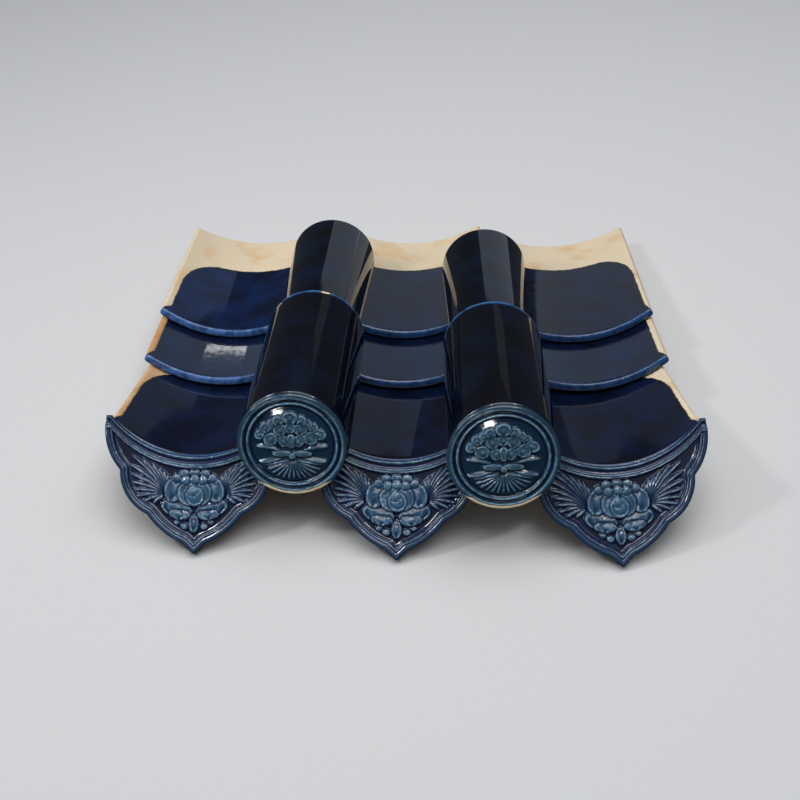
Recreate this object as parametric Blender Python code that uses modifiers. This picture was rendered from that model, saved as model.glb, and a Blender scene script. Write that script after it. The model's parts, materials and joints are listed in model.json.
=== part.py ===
"""Glazed clay roof tiles laid as an eaves section: three columns of pan tiles and two rows of covers.

Metres, +Z up. X runs across the section, Y runs from the hanging faces in front to the heads of the
tiles behind. The set lies on the floor at Z 0: each pan rests on the pan in front of it and on the
lower edge of its own head, and the drip tiles stand on the points of their faces.
"""
import math

import bmesh
import bpy
import numpy as np
from mathutils import Matrix

# Pan tiles
PAN_LENGTH = 0.290
PAN_LIP_WIDTH = 0.209
PAN_HEAD_WIDTH = 0.216
PAN_LIP_RADIUS = 0.183
PAN_HEAD_RADIUS = 0.208
PAN_THICKNESS = 0.012
PAN_LIP_BOW = 0.012
EDGE_ROUNDING = 0.0028

# Drip tiles, which are pans with a hanging face
DRIP_LIP_WIDTH = 0.207
DRIP_LIP_RADIUS = 0.154
FACE_ANGLE = math.radians(120)
FACE_THICKNESS = 0.012
FACE_RISE = 0.0012
FACE_RIM = 0.0095
FACE_FIELD_DEPTH = 0.0035
MOULDING_WIDTH = 0.0155
MOULDING_BEAD = 0.0024
FACE_SHOULDER = (0.0935, 0.016)
FACE_NOTCH = (0.0585, 0.070)
FACE_SHANK = (0.0140, 0.1045)
FACE_TIP_DROP = 0.1165
FACE_TIP_WIDTH = 0.003
SHOULDER_BULGE = 0.0085
LOBE_BULGE = 0.0095
SHANK_BULGE = 0.0040

# Eaves covers, each a barrel with an end disc
COVER_LENGTH = 0.262
COVER_RADIUS = 0.0642
COVER_THICKNESS = 0.011
COVER_SKIRT = 0.0215
DISC_RADIUS = 0.065
DISC_THICKNESS = 0.013
DISC_LEAN = math.radians(10)
DISC_RIM = 0.0075
DISC_RING_RADIUS = 0.0550
DISC_RING_WIDTH = 0.0060
DISC_FIELD_DEPTH = 0.0040

# Relief of the hanging faces: across, up, half length, half width, height, turn in radians
FACE_BLOOM = (
    (0.0, -0.048, 0.0170, 0.0140, 0.0062, 0.0),
    (0.0, -0.031, 0.0120, 0.0120, 0.0070, 0.0),
    (0.0, -0.079, 0.0060, 0.0090, 0.0045, 0.0),
)
FACE_SIDE_PETALS = (
    (0.0265, -0.0410, 0.0120, 0.0190, 0.0055, 0.35),
    (0.0135, -0.0215, 0.0085, 0.0070, 0.0052, 0.50),
    (0.0215, -0.0625, 0.0190, 0.0090, 0.0050, 0.45),
    (0.0130, -0.0790, 0.0045, 0.0045, 0.0036, 0.0),
)
LEAF_ROOT = (0.037, -0.052)
LEAF_BLADES = 5
LEAF_TOP = (0.085, 0.002)
LEAF_SWEEP = (-0.021, -0.049)
LEAF_BLADE = (0.0052, 0.0044)

# Relief of the end discs: rows of lobes as count, half spread in radians, reach, size, height
DISC_CENTRE = (0.0, -0.004, 0.0085, 0.0085, 0.0060, 0.0)
DISC_LOBES = ((9, 1.75, 0.0335, 0.0078, 0.0046), (5, 1.35, 0.0185, 0.0082, 0.0056))
LOBE_SQUASH = 0.8
LOBE_SPREAD = 1.08
DISC_LEAF = (0.0260, -0.0120, 0.0150, 0.0050, 0.0045, 0.10)
RAYS = 9
RAY_HALF_SPREAD = 1.32
RAY_HUB = -0.0150
RAY_START = 0.004
RAY_END = 0.0310
RAY_GROWTH = 0.0060
RAY = (0.0036, 0.0044)

# Upper covers, tucked into the heads of the eaves covers
UPPER_LENGTH = 0.258
UPPER_HEAD_RADIUS = 0.0615
UPPER_THICKNESS = 0.0105
UPPER_SKIRT = 0.018
UPPER_TUCK = 0.020
UPPER_CLEARANCE = 0.0012

# The laid set
SEAT_GAP = 0.0008
DISC_GAP = 0.0025
MIDDLE_EXPOSURE = 0.200
TOP_EXPOSURE = 0.108
LEFT_PITCH = 0.2458
RIGHT_PITCH = 0.2579
LEFT_BACK = 0.0100
RIGHT_FORWARD = 0.0100
RIGHT_TURN = math.radians(4.0)
TOP_STRAY = 0.0040
LEFT_COVER_SHIFT = 0.0022
RIGHT_COVER_SHIFT = -0.0040
RIGHT_COVER_FORWARD = 0.015

# Each column: its lip's place, its turn, its pans' turns in degrees, front to back, the top pan's stray
COLUMNS = {
    "left": (-LEFT_PITCH, LEFT_BACK, 0.0, (-1.0, 0.0, -0.4), 0.0),
    "middle": (0.0, 0.0, 0.0, (-0.8, 0.4, 0.4), TOP_STRAY),
    "right": (RIGHT_PITCH, -RIGHT_FORWARD, RIGHT_TURN, (5.4, 3.5, 2.6), 0.0),
}

# Each pair of covers: its shift, its disc's forward stand, its turn in degrees and its columns
COVERS = {
    "left": (LEFT_COVER_SHIFT, 0.0, -0.5, ("left", "middle")),
    "right": (RIGHT_COVER_SHIFT, RIGHT_COVER_FORWARD, 1.5, ("middle", "right")),
}

# Fineness of the faceted surfaces
PAN_FACETS = 12
BARREL_FACETS = 14
DISC_FACETS = 32
PETAL_FACETS = (6, 4)
BLADE_FACETS = (4, 2)
SAMPLES = 41

GLAZES = {
    "drip_tile": (0.012, 0.030, 0.075),
    "pan_tile": (0.008, 0.014, 0.045),
    "eaves_cover": (0.010, 0.024, 0.062),
    "upper_cover": (0.009, 0.017, 0.050),
}
GLAZE_ROUGHNESS = 0.12
SHARP_ANGLE = math.radians(35)


def clear_scene():
    """Remove what the scene holds."""
    for item in list(bpy.data.objects):
        bpy.data.objects.remove(item, do_unlink=True)


def new_collection(name):
    """Add a collection to the scene."""
    collection = bpy.data.collections.new(name)
    bpy.context.scene.collection.children.link(collection)
    return collection


def glazed(name, colour):
    """A fired glaze in one colour."""
    material = bpy.data.materials.new(name)
    material.use_nodes = True
    shader = material.node_tree.nodes["Principled BSDF"]
    shader.inputs["Base Color"].default_value = (*colour, 1.0)
    shader.inputs["Roughness"].default_value = GLAZE_ROUGHNESS
    shader.inputs["Metallic"].default_value = 0.0
    return material


def link_mesh(name, mesh, collection):
    """Put a mesh in the scene as an object."""
    item = bpy.data.objects.new(name, mesh)
    collection.objects.link(item)
    return item


def mesh_from_bmesh(name, work):
    """Turn a bmesh into a mesh and free it."""
    mesh = bpy.data.meshes.new(name)
    work.to_mesh(mesh)
    work.free()
    return mesh


def settled_mesh(item, name):
    """The mesh of an object with its modifiers and its place taken in; the object is removed."""
    bpy.context.view_layer.update()
    evaluated = item.evaluated_get(bpy.context.evaluated_depsgraph_get())
    mesh = bpy.data.meshes.new_from_object(evaluated)
    mesh.transform(item.matrix_world)
    mesh.name = name
    bpy.data.objects.remove(item, do_unlink=True)
    return mesh


def welded(mesh):
    """Join the loose caps of a mesh that was a curve, and turn its faces outward."""
    work = bmesh.new()
    work.from_mesh(mesh)
    bmesh.ops.remove_doubles(work, verts=work.verts, dist=1e-6)
    bmesh.ops.recalc_face_normals(work, faces=work.faces)
    work.to_mesh(mesh)
    work.free()
    return mesh


def joined(item, parts, operation, collection):
    """Join solids to an object, or cut them from it, and take the result as a new object."""
    tools = bpy.data.collections.new("tools for " + item.name)
    bpy.context.scene.collection.children.link(tools)
    for part in parts:
        tools.objects.link(part)
        part.display_type = "WIRE"
        part.hide_render = True
    boolean = item.modifiers.new(operation.lower(), "BOOLEAN")
    boolean.operation = operation
    boolean.solver = "EXACT"
    boolean.operand_type = "COLLECTION"
    boolean.collection = tools
    name = item.name
    result = link_mesh(name + " shaped", settled_mesh(item, name), collection)
    for part in parts:
        bpy.data.objects.remove(part, do_unlink=True)
    bpy.data.collections.remove(tools)
    return result


def arc_height(across, radius):
    """Height of a circular trough over its lowest line, at a distance from its middle."""
    inside = np.clip(radius ** 2 - np.square(across), 0.0, None)
    return radius - np.sqrt(inside)


def shell(name, points, thickness, collection):
    """A bent slab: an open grid of points, one row for each place along it, thickened downward."""
    rows, columns = points.shape[:2]
    work = bmesh.new()
    grid = [[work.verts.new(point) for point in row] for row in points]
    for row in range(rows - 1):
        for column in range(columns - 1):
            work.faces.new((grid[row][column], grid[row][column + 1], grid[row + 1][column + 1], grid[row + 1][column]))
    item = link_mesh(name, mesh_from_bmesh(name, work), collection)
    wall = item.modifiers.new("wall", "SOLIDIFY")
    wall.thickness = thickness
    wall.offset = -1.0
    wall.use_even_offset = True
    rounding = item.modifiers.new("rounded edges", "BEVEL")
    rounding.width = EDGE_ROUNDING
    rounding.segments = 1
    rounding.limit_method = "ANGLE"
    rounding.angle_limit = math.radians(50)
    return item


class Pan:
    """The sizes of a pan tile: a trough that narrows to its lip. Local Y 0 is the middle of the lip."""

    def __init__(self, lip_width, lip_radius, lip_slope, ledge_rise, ledge_depth):
        self.lip_width = lip_width
        self.lip_radius = lip_radius
        self.lip_slope = lip_slope
        self.ledge_rise = ledge_rise
        self.ledge_depth = ledge_depth

    def half_width(self, along):
        """Half the trough's width at a distance from the lip."""
        share = np.clip(along / PAN_LENGTH, 0.0, 1.0)
        return (self.lip_width + (PAN_HEAD_WIDTH - self.lip_width) * share) / 2

    def radius(self, along):
        """Radius of the trough's section at a distance from the lip."""
        share = np.clip(along / PAN_LENGTH, 0.0, 1.0)
        return self.lip_radius + (PAN_HEAD_RADIUS - self.lip_radius) * share

    def lip(self, across):
        """How far the lip stands back at a distance from its middle: a bow, or the slope of a face."""
        bow = PAN_LIP_BOW * np.square(across / (self.lip_width / 2))
        return self.lip_slope * arc_height(across, self.lip_radius) if self.lip_slope else bow

    def surface(self, set_back):
        """Grid of points on the upper surface, from the lip to the head."""
        sides = np.linspace(-1.0, 1.0, PAN_FACETS + 1)
        shares = np.linspace(0.0, 1.0, 3)[:, None]
        lip = self.lip(sides * self.lip_width / 2) + set_back
        along = lip[None, :] * (1 - shares) + PAN_LENGTH * shares
        across = sides[None, :] * self.half_width(along)
        return np.stack([across, along, arc_height(across, self.radius(along))], axis=-1)


class Place:
    """Where a laid tile is: its lip's place on the plan, its turn, its lip's height and its fall to the rear."""

    def __init__(self, x, y, turn, height, fall):
        self.x = x
        self.y = y
        self.turn = turn
        self.height = height
        self.fall = fall

    def matrix(self):
        """The tile's local frame in the set's frame."""
        turned = Matrix.Translation((self.x, self.y, self.height)) @ Matrix.Rotation(self.turn, 4, "Z")
        return turned @ Matrix.Rotation(-self.fall, 4, "X")

    def laid(self, points):
        """Carry points of the tile's own frame into the set's frame."""
        matrix = np.array(self.matrix())
        return points @ matrix[:3, :3].T + matrix[:3, 3]

    def top_height(self, pan, x, y):
        """Height of the pan's upper surface over points of the floor, or far below beside the pan."""
        dx, dy = x - self.x, y - self.y
        across = dx * math.cos(self.turn) + dy * math.sin(self.turn)
        back = dy * math.cos(self.turn) - dx * math.sin(self.turn)
        along = back / math.cos(self.fall)
        for _ in range(6):
            rise = arc_height(across, pan.radius(along))
            along = (back - rise * math.sin(self.fall)) / math.cos(self.fall)
        ledge = np.where(along < pan.lip(across) + pan.ledge_depth, pan.ledge_rise, 0.0)
        height = self.height - along * math.sin(self.fall) + (rise + ledge) * math.cos(self.fall)
        inside = (np.abs(across) <= pan.half_width(along)) & (along >= pan.lip(across)) & (along <= PAN_LENGTH)
        return np.where(inside, height, -1.0)


def drip_place(x, y, turn):
    """A drip tile stands on the lower edge of its face's point and on the lower edge of its head."""
    rise = FACE_TIP_DROP * math.sin(FACE_ANGLE) - FACE_THICKNESS * math.cos(FACE_ANGLE) - PAN_THICKNESS
    run = PAN_LENGTH - FACE_TIP_DROP * math.cos(FACE_ANGLE) - FACE_THICKNESS * math.sin(FACE_ANGLE)
    fall = math.atan2(rise, run)
    height = PAN_LENGTH * math.sin(fall) + PAN_THICKNESS * math.cos(fall)
    return Place(x, y, turn, height, fall)


def lapped_place(lower, lower_pan, pan, x, y, turn):
    """A pan lies with its lip on the pan in front and with the lower edge of its head on the floor."""
    sides = np.linspace(-1.0, 1.0, SAMPLES)[None, :]
    shares = np.linspace(0.0, 0.6, 7)[:, None]
    angle = np.arcsin(sides * pan.half_width(0.0) / pan.lip_radius)
    along = pan.lip(sides * pan.half_width(0.0)) + PAN_LENGTH * shares
    radius = pan.radius(along)
    bottom = np.stack([(radius + PAN_THICKNESS) * np.sin(angle), along,
                       radius - (radius + PAN_THICKNESS) * np.cos(angle)], axis=-1)
    under = lower.height - math.hypot(x - lower.x, y - lower.y) * math.tan(lower.fall)
    for _ in range(12):
        fall = math.asin(under / PAN_LENGTH)
        place = Place(x, y, turn, under + PAN_THICKNESS * math.cos(fall), fall)
        laid = place.laid(bottom)
        clear = laid[..., 2] - lower.top_height(lower_pan, laid[..., 0], laid[..., 1])
        under += np.max((SEAT_GAP - clear) / (1 - shares))
    return place


def lay_pans():
    """Places of the nine pans, by row and column."""
    drip, plain = drip_pan(), plain_pan()
    places = {}
    for side, (x, y, turn, swings, stray) in COLUMNS.items():
        swings = [math.radians(swing) for swing in swings]
        way = np.array([-math.sin(turn), math.cos(turn)])
        first = drip_place(x, y, swings[0])
        lip = np.array([x, y]) + way * MIDDLE_EXPOSURE * math.cos(first.fall)
        second = lapped_place(first, drip, plain, *lip, swings[1])
        lip = lip + way * (TOP_EXPOSURE * math.cos(second.fall) + stray)
        third = lapped_place(second, plain, plain, *lip, swings[2])
        places[side] = ((drip, first), (plain, second), (plain, third))
    return places


def plain_pan():
    """The shape of a middle or top pan."""
    return Pan(PAN_LIP_WIDTH, PAN_LIP_RADIUS, 0.0, 0.0, 0.0)


def drip_pan():
    """The shape of a drip tile's trough, whose lip lies in its face's plane, a little under the face's top."""
    ledge_depth = 2 * FACE_THICKNESS / math.sin(FACE_ANGLE)
    return Pan(DRIP_LIP_WIDTH, DRIP_LIP_RADIUS, -1 / math.tan(FACE_ANGLE), FACE_RISE, ledge_depth)


def arc_points(start, end, bulge, count):
    """Points of a circular arc, without its end, swelling to the left of the way from start to end."""
    start, end = np.array(start), np.array(end)
    chord = end - start
    length = np.hypot(*chord)
    radius = (length ** 2 / 4 + bulge ** 2) / (2 * bulge)
    along = np.arange(count) / count
    offset = np.sqrt(radius ** 2 - np.square((along - 0.5) * length)) - (radius - bulge)
    normal = np.array([-chord[1], chord[0]]) / length
    return start + along[:, None] * chord + offset[:, None] * normal


def face_arc(across, drop):
    """Height in the face's plane of the trough's line there, lowered by a drop."""
    return arc_height(across, DRIP_LIP_RADIUS) / math.sin(FACE_ANGLE) - drop


def face_half_width():
    """Half the face's width: it covers the cut end of the trough's side wall."""
    half = DRIP_LIP_WIDTH / 2
    return half + PAN_THICKNESS * half / DRIP_LIP_RADIUS


def face_side():
    """The right side of the face's outline, from its upper corner to its point; Y is up."""
    half = face_half_width()
    corner = (half, float(face_arc(half, -FACE_RISE)))
    shoulder = (FACE_SHOULDER[0], -FACE_SHOULDER[1])
    notch = (FACE_NOTCH[0], -FACE_NOTCH[1])
    shank = (FACE_SHANK[0], -FACE_SHANK[1])
    tip = (FACE_TIP_WIDTH / 2, -FACE_TIP_DROP)
    arcs = [
        arc_points(corner, shoulder, SHOULDER_BULGE, 5),
        arc_points(shoulder, notch, LOBE_BULGE, 6),
        arc_points(notch, shank, SHANK_BULGE, 4),
        np.array([shank, tip]),
    ]
    return np.concatenate(arcs)


def inset(points, distance):
    """An outline drawn in by a distance along its own normals; the way round is clockwise."""
    before, after = np.roll(points, 1, axis=0), np.roll(points, -1, axis=0)
    first = (points - before) / np.linalg.norm(points - before, axis=1)[:, None]
    second = (after - points) / np.linalg.norm(after - points, axis=1)[:, None]
    normals = np.stack([first[:, 1] + second[:, 1], -first[:, 0] - second[:, 0]], axis=1)
    normals /= np.linalg.norm(normals, axis=1)[:, None]
    stretch = np.clip(normals[:, 0] * first[:, 1] - normals[:, 1] * first[:, 0], 0.5, 1.0)
    return points + normals * (distance / stretch)[:, None]


def face_outline():
    """The whole outline of the face, clockwise: the trough's line, the right side, the left side."""
    side = face_side()
    across = np.linspace(-face_half_width(), face_half_width(), PAN_FACETS + 5)[1:-1]
    top = np.stack([across, face_arc(across, -FACE_RISE)], axis=1)
    left = side[::-1] * np.array([-1.0, 1.0])
    return np.concatenate([top, side, left])


def field_outline(rim, drop):
    """The outline of the sunk field: the face's outline drawn in, closed by the moulding's lower line."""
    drawn = inset(face_outline(), rim)
    low = drawn[drawn[:, 1] < face_arc(drawn[:, 0], drop)]
    order = np.argsort(np.arctan2(low[:, 0], low[:, 1] + FACE_NOTCH[1] / 2))
    low = low[order]
    right, left = low[low[:, 0] > 0], low[low[:, 0] < 0]
    right = right[np.argsort(-right[:, 1])]
    left = left[np.argsort(left[:, 1])]
    across = np.linspace(left[-1, 0], right[0, 0], PAN_FACETS + 3)[1:-1]
    top = np.stack([across, face_arc(across, drop)], axis=1)
    return np.concatenate([top, right, left])


def face_matrix():
    """The face's frame in the drip tile's frame: X across, Y up the face, Z out of it."""
    sine, cosine = math.sin(FACE_ANGLE), math.cos(FACE_ANGLE)
    return Matrix(((1, 0, 0, 0), (0, -cosine, -sine, 0), (0, sine, -cosine, 0), (0, 0, 0, 1)))


def slab(name, outline, low, high, matrix, collection):
    """A flat outline given a thickness between two heights, as a welded mesh object."""
    curve = bpy.data.curves.new(name, "CURVE")
    curve.dimensions = "2D"
    curve.fill_mode = "BOTH"
    curve.extrude = (high - low) / 2
    spline = curve.splines.new("POLY")
    spline.points.add(len(outline) - 1)
    for point, (x, y) in zip(spline.points, outline):
        point.co = (x, y, 0.0, 1.0)
    spline.use_cyclic_u = True
    flat = bpy.data.objects.new(name, curve)
    collection.objects.link(flat)
    flat.matrix_world = matrix @ Matrix.Translation((0.0, 0.0, (high + low) / 2))
    return link_mesh(name, welded(settled_mesh(flat, name)), collection)


def bead(name, points, radius, matrix, collection):
    """A round bead along a line of points, as a welded mesh object."""
    curve = bpy.data.curves.new(name, "CURVE")
    curve.dimensions = "3D"
    curve.bevel_depth = radius
    curve.bevel_resolution = 0
    curve.use_fill_caps = True
    spline = curve.splines.new("POLY")
    spline.points.add(len(points) - 1)
    for point, place in zip(spline.points, points):
        point.co = (*place, 1.0)
    line = bpy.data.objects.new(name, curve)
    collection.objects.link(line)
    line.matrix_world = matrix
    return link_mesh(name, welded(settled_mesh(line, name)), collection)


def petal(name, shape, facets, depth, matrix, collection):
    """A petal or a leaf blade: a flattened ball half sunk in the field, turned by an angle."""
    across, up, half_length, half_width, height, turn = shape
    work = bmesh.new()
    bmesh.ops.create_uvsphere(work, u_segments=facets[0], v_segments=facets[1], radius=1.0)
    place = Matrix.Translation((across, up, -depth)) @ Matrix.Rotation(turn, 4, "Z")
    work.transform(matrix @ place @ Matrix.Diagonal((half_length, half_width, height, 1.0)))
    return link_mesh(name, mesh_from_bmesh(name, work), collection)


def relief(petals, blades, depth, matrix, collection):
    """All petals and blades of one relief as objects."""
    kinds = [(shape, PETAL_FACETS) for shape in petals] + [(shape, BLADE_FACETS) for shape in blades]
    return [petal(f"petal {number}", shape, facets, depth, matrix, collection)
            for number, (shape, facets) in enumerate(kinds)]


def blade_between(root, tip, half_width, height):
    """The shape of a blade that runs from its root to its tip."""
    middle, half = (root + tip) / 2, (tip - root) / 2
    return (*middle, float(np.hypot(*half)), half_width, height, math.atan2(half[1], half[0]))


def mirrored(shape):
    """The same petal on the other side of the middle."""
    across, up, half_length, half_width, height, turn = shape
    return (-across, up, half_length, half_width, height, -turn)


def face_petals():
    """Petals of the face's peony."""
    return list(FACE_BLOOM) + list(FACE_SIDE_PETALS) + [mirrored(shape) for shape in FACE_SIDE_PETALS]


def face_blades():
    """Blades of the two leaves beside the face's peony."""
    blades = []
    for blade in range(LEAF_BLADES):
        share = blade / (LEAF_BLADES - 1)
        tip = np.array([LEAF_TOP[0] + LEAF_SWEEP[0] * share ** 2, LEAF_TOP[1] + LEAF_SWEEP[1] * share])
        blades.append(blade_between(np.array(LEAF_ROOT), tip, *LEAF_BLADE))
    return blades + [mirrored(shape) for shape in blades]


def build_drip_tile(collection):
    """The drip tile's mesh in its own frame: trough, face, mouldings and relief in one solid."""
    pan, frame = drip_pan(), face_matrix()
    inside_face = FACE_THICKNESS / math.sin(FACE_ANGLE) / 3
    trough = shell("drip trough", pan.surface(inside_face), PAN_THICKNESS, collection)
    plate = slab("drip face", face_outline(), -FACE_THICKNESS, 0.0, frame, collection)
    field = slab("field", field_outline(FACE_RIM, MOULDING_WIDTH), -FACE_FIELD_DEPTH, 2 * FACE_FIELD_DEPTH,
                 frame, collection)
    face = joined(plate, [field], "DIFFERENCE", collection)
    across = np.linspace(-1.0, 1.0, PAN_FACETS + 1) * (face_half_width() - FACE_RIM / 2)
    extras = []
    for number, drop in enumerate((MOULDING_BEAD, MOULDING_WIDTH - MOULDING_BEAD)):
        line = np.stack([across, face_arc(across, drop), np.full_like(across, -MOULDING_BEAD / 2)], axis=1)
        extras.append(bead(f"bead {number}", line, MOULDING_BEAD, frame, collection))
    extras += relief(face_petals(), face_blades(), FACE_FIELD_DEPTH, frame, collection)
    return settled_mesh(joined(face, [trough] + extras, "UNION", collection), "drip tile")


def build_pan_tile(collection):
    """The plain pan's mesh in its own frame."""
    return settled_mesh(shell("pan", plain_pan().surface(0.0), PAN_THICKNESS, collection), "pan tile")


def barrel_points(radius, arc, skirt, front, rear, lean):
    """Grid of points on a barrel's outer side: a round arc, with straight sides below it if it has a skirt."""
    angles = math.pi / 2 + np.linspace(-arc, arc, BARREL_FACETS + 1) / 2
    rows = []
    for along, size in ((front, radius[0]), (rear, radius[1])):
        across, height = size * np.cos(angles), size * np.sin(angles)
        if skirt > 0:
            across = np.concatenate([[size], across, [-size]])
            height = np.concatenate([[-skirt], height, [-skirt]])
        back = along + (height * math.tan(lean) if along == front else 0.0)
        rows.append(np.stack([across, np.broadcast_to(back, across.shape), height], axis=-1))
    return np.stack(rows)[:, ::-1]


def disc_profile():
    """Half section of the end disc, from the middle of its front round its edge to its back."""
    ring_in = DISC_RING_RADIUS - DISC_RING_WIDTH
    groove = DISC_FIELD_DEPTH * 0.9
    rim_in = DISC_RADIUS - DISC_RIM
    round_off = DISC_RIM / 3
    return [
        (0.0, -DISC_FIELD_DEPTH),
        (ring_in, -DISC_FIELD_DEPTH),
        (ring_in + DISC_RING_WIDTH / 4, -DISC_FIELD_DEPTH / 4),
        (DISC_RING_RADIUS - DISC_RING_WIDTH / 4, -DISC_FIELD_DEPTH / 4),
        (DISC_RING_RADIUS, -groove),
        (rim_in, -groove),
        (rim_in + round_off, 0.0),
        (DISC_RADIUS - round_off, -round_off / 4),
        (DISC_RADIUS, -2 * round_off),
        (DISC_RADIUS, -DISC_THICKNESS),
        (0.0, -DISC_THICKNESS),
    ]


def disc_matrix():
    """The disc's frame in the cover's frame: X across, Y up the disc, Z out of its front."""
    sine, cosine = math.sin(DISC_LEAN), math.cos(DISC_LEAN)
    return Matrix(((1, 0, 0, 0), (0, sine, -cosine, 0), (0, cosine, sine, 0), (0, 0, 0, 1)))


def build_disc(collection):
    """The end disc, turned from its half section."""
    profile = disc_profile()
    work = bmesh.new()
    points = [work.verts.new((radius, 0.0, height)) for radius, height in profile]
    for first, second in zip(points, points[1:]):
        work.edges.new((first, second))
    item = link_mesh("disc", mesh_from_bmesh("disc", work), collection)
    turned = item.modifiers.new("turned", "SCREW")
    turned.steps = DISC_FACETS
    turned.render_steps = DISC_FACETS
    turned.use_merge_vertices = True
    turned.merge_threshold = 0.00001
    item.matrix_world = disc_matrix()
    return link_mesh("end disc", welded(settled_mesh(item, "end disc")), collection)


def disc_petals():
    """Petals of the disc's peony: its centre and two rows of lobes above it."""
    petals = [DISC_CENTRE]
    for count, spread, reach, size, height in DISC_LOBES:
        for lobe in range(count):
            turn = spread * (2 * lobe / (count - 1) - 1)
            place = (reach * LOBE_SPREAD * math.sin(turn), reach * math.cos(turn))
            petals.append((*place, size, size * LOBE_SQUASH, height, -turn))
    return petals


def disc_blades():
    """Leaves beside the disc's peony and the fan of rays below it."""
    blades = [DISC_LEAF, mirrored(DISC_LEAF)]
    for ray in range(RAYS):
        turn = RAY_HALF_SPREAD * (2 * ray / (RAYS - 1) - 1)
        way = np.array([math.sin(turn), -math.cos(turn)])
        hub = np.array([0.0, RAY_HUB])
        end = RAY_END + RAY_GROWTH * math.sin(abs(turn))
        blades.append(blade_between(hub + RAY_START * way, hub + end * way, *RAY))
    return blades


def build_eaves_cover(collection):
    """The eaves cover's mesh in its own frame; its origin is the middle of the disc's front."""
    inside_disc = DISC_THICKNESS / 2
    radii = (COVER_RADIUS, COVER_RADIUS)
    points = barrel_points(radii, math.pi, COVER_SKIRT, inside_disc, COVER_LENGTH, DISC_LEAN)
    barrel = shell("barrel", points, COVER_THICKNESS, collection)
    disc = build_disc(collection)
    frame = disc_matrix()
    extras = relief(disc_petals(), disc_blades(), DISC_FIELD_DEPTH, frame, collection)
    return settled_mesh(joined(disc, [barrel] + extras, "UNION", collection), "eaves cover")


def upper_lip_radius():
    """Outer radius of the upper cover's lip, which goes into the head of the eaves cover."""
    opening = COVER_RADIUS - COVER_THICKNESS - UPPER_CLEARANCE
    share = UPPER_TUCK / UPPER_LENGTH
    return (opening - share * UPPER_HEAD_RADIUS) / (1 - share)


def build_upper_cover(collection):
    """The upper cover's mesh in its own frame; its origin is the middle of its lip's section."""
    radii = (upper_lip_radius(), UPPER_HEAD_RADIUS)
    points = barrel_points(radii, math.pi, UPPER_SKIRT, 0.0, UPPER_LENGTH, 0.0)
    return settled_mesh(shell("upper barrel", points, UPPER_THICKNESS, collection), "upper cover")


def support_height(pans, x, y):
    """The highest pan surface under points of the floor plan."""
    heights = [place.top_height(pan, x, y) for pans_of_column in pans for pan, place in pans_of_column]
    return np.max(heights, axis=0)


def resting_line(along, height, balance):
    """The straight line that lies on the highest points before and behind a cover's balance point."""
    first, second = np.meshgrid(np.flatnonzero(along < balance), np.flatnonzero(along > balance), indexing="ij")
    slope = (height[second] - height[first]) / (along[second] - along[first])
    middle = height[first] + slope * (balance - along[first])
    best = np.unravel_index(np.argmax(middle), middle.shape)
    return slope[best], height[first][best] - slope[best] * along[first][best]


def edge_supports(pans, x, y, turn, half_widths, along):
    """Heights of the pans under both lower edges of a cover, at distances along it."""
    supports = np.full(along.shape, -1.0)
    for half_width in half_widths:
        for offset in (half_width, -half_width):
            edge_x = x + offset * math.cos(turn) - along * math.sin(turn)
            edge_y = y + offset * math.sin(turn) + along * math.cos(turn)
            supports = np.maximum(supports, support_height(pans, edge_x, edge_y))
    return supports


def disc_clearance(place, pans):
    """The least distance from the back of the end disc to the faces of the drip tiles behind it."""
    turns = np.linspace(0.0, 2 * math.pi, 2 * SAMPLES)
    back = np.stack([DISC_RADIUS * np.cos(turns), DISC_RADIUS * np.sin(turns),
                     np.full(turns.shape, -DISC_THICKNESS), np.ones(turns.shape)])
    world = np.array(place.matrix() @ disc_matrix()) @ back
    side = face_side()[::-1]
    clearances = []
    for (_, drip), *_ in pans:
        across, up, out, _ = np.linalg.inv(np.array(drip.matrix() @ face_matrix())) @ world
        reach = np.interp(up, side[:, 1], side[:, 0], left=-1.0)
        over = (np.abs(across) < reach) & (up < face_arc(across, -FACE_RISE))
        clearances.append(np.min(np.where(over, out, 1.0)))
    return min(clearances)


def upper_radius(along):
    """Outer radius of the upper cover at a distance from its lip."""
    return upper_lip_radius() + (UPPER_HEAD_RADIUS - upper_lip_radius()) * along / UPPER_LENGTH


def upper_place(pans, x, y, turn):
    """Where an upper cover comes to rest on the pans when its lip is over a point of the floor."""
    along = np.linspace(0.0, UPPER_LENGTH, SAMPLES)
    walls = [upper_radius(along) - UPPER_THICKNESS, upper_radius(along)]
    supports = edge_supports(pans, x, y, turn, walls, along)
    slope, start = resting_line(along, supports, UPPER_LENGTH / 2)
    fall = -math.atan(slope)
    return Place(x, y, turn, start + UPPER_SKIRT * math.cos(fall) + SEAT_GAP, fall)


def eaves_place(pans, upper, x, y, turn):
    """Where an eaves cover comes to rest: in front on the pans, behind on the upper cover's lip."""
    walls = [COVER_RADIUS - COVER_THICKNESS, COVER_RADIUS]
    along = np.linspace(0.0, COVER_LENGTH, SAMPLES)
    supports = edge_supports(pans, x, y, turn, walls, along)
    inside = y + along * math.cos(turn) - upper.y
    lip_top = upper.height - inside * math.tan(upper.fall) + upper_radius(inside)
    lip_top += COVER_THICKNESS - COVER_RADIUS - COVER_SKIRT
    supports = np.where(inside >= 0.0, np.maximum(supports, lip_top), supports)
    slope, start = resting_line(along, supports, COVER_LENGTH / 2)
    fall = -math.atan(slope)
    return Place(x, y, turn, start + COVER_SKIRT * math.cos(fall) + SEAT_GAP, fall)


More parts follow.
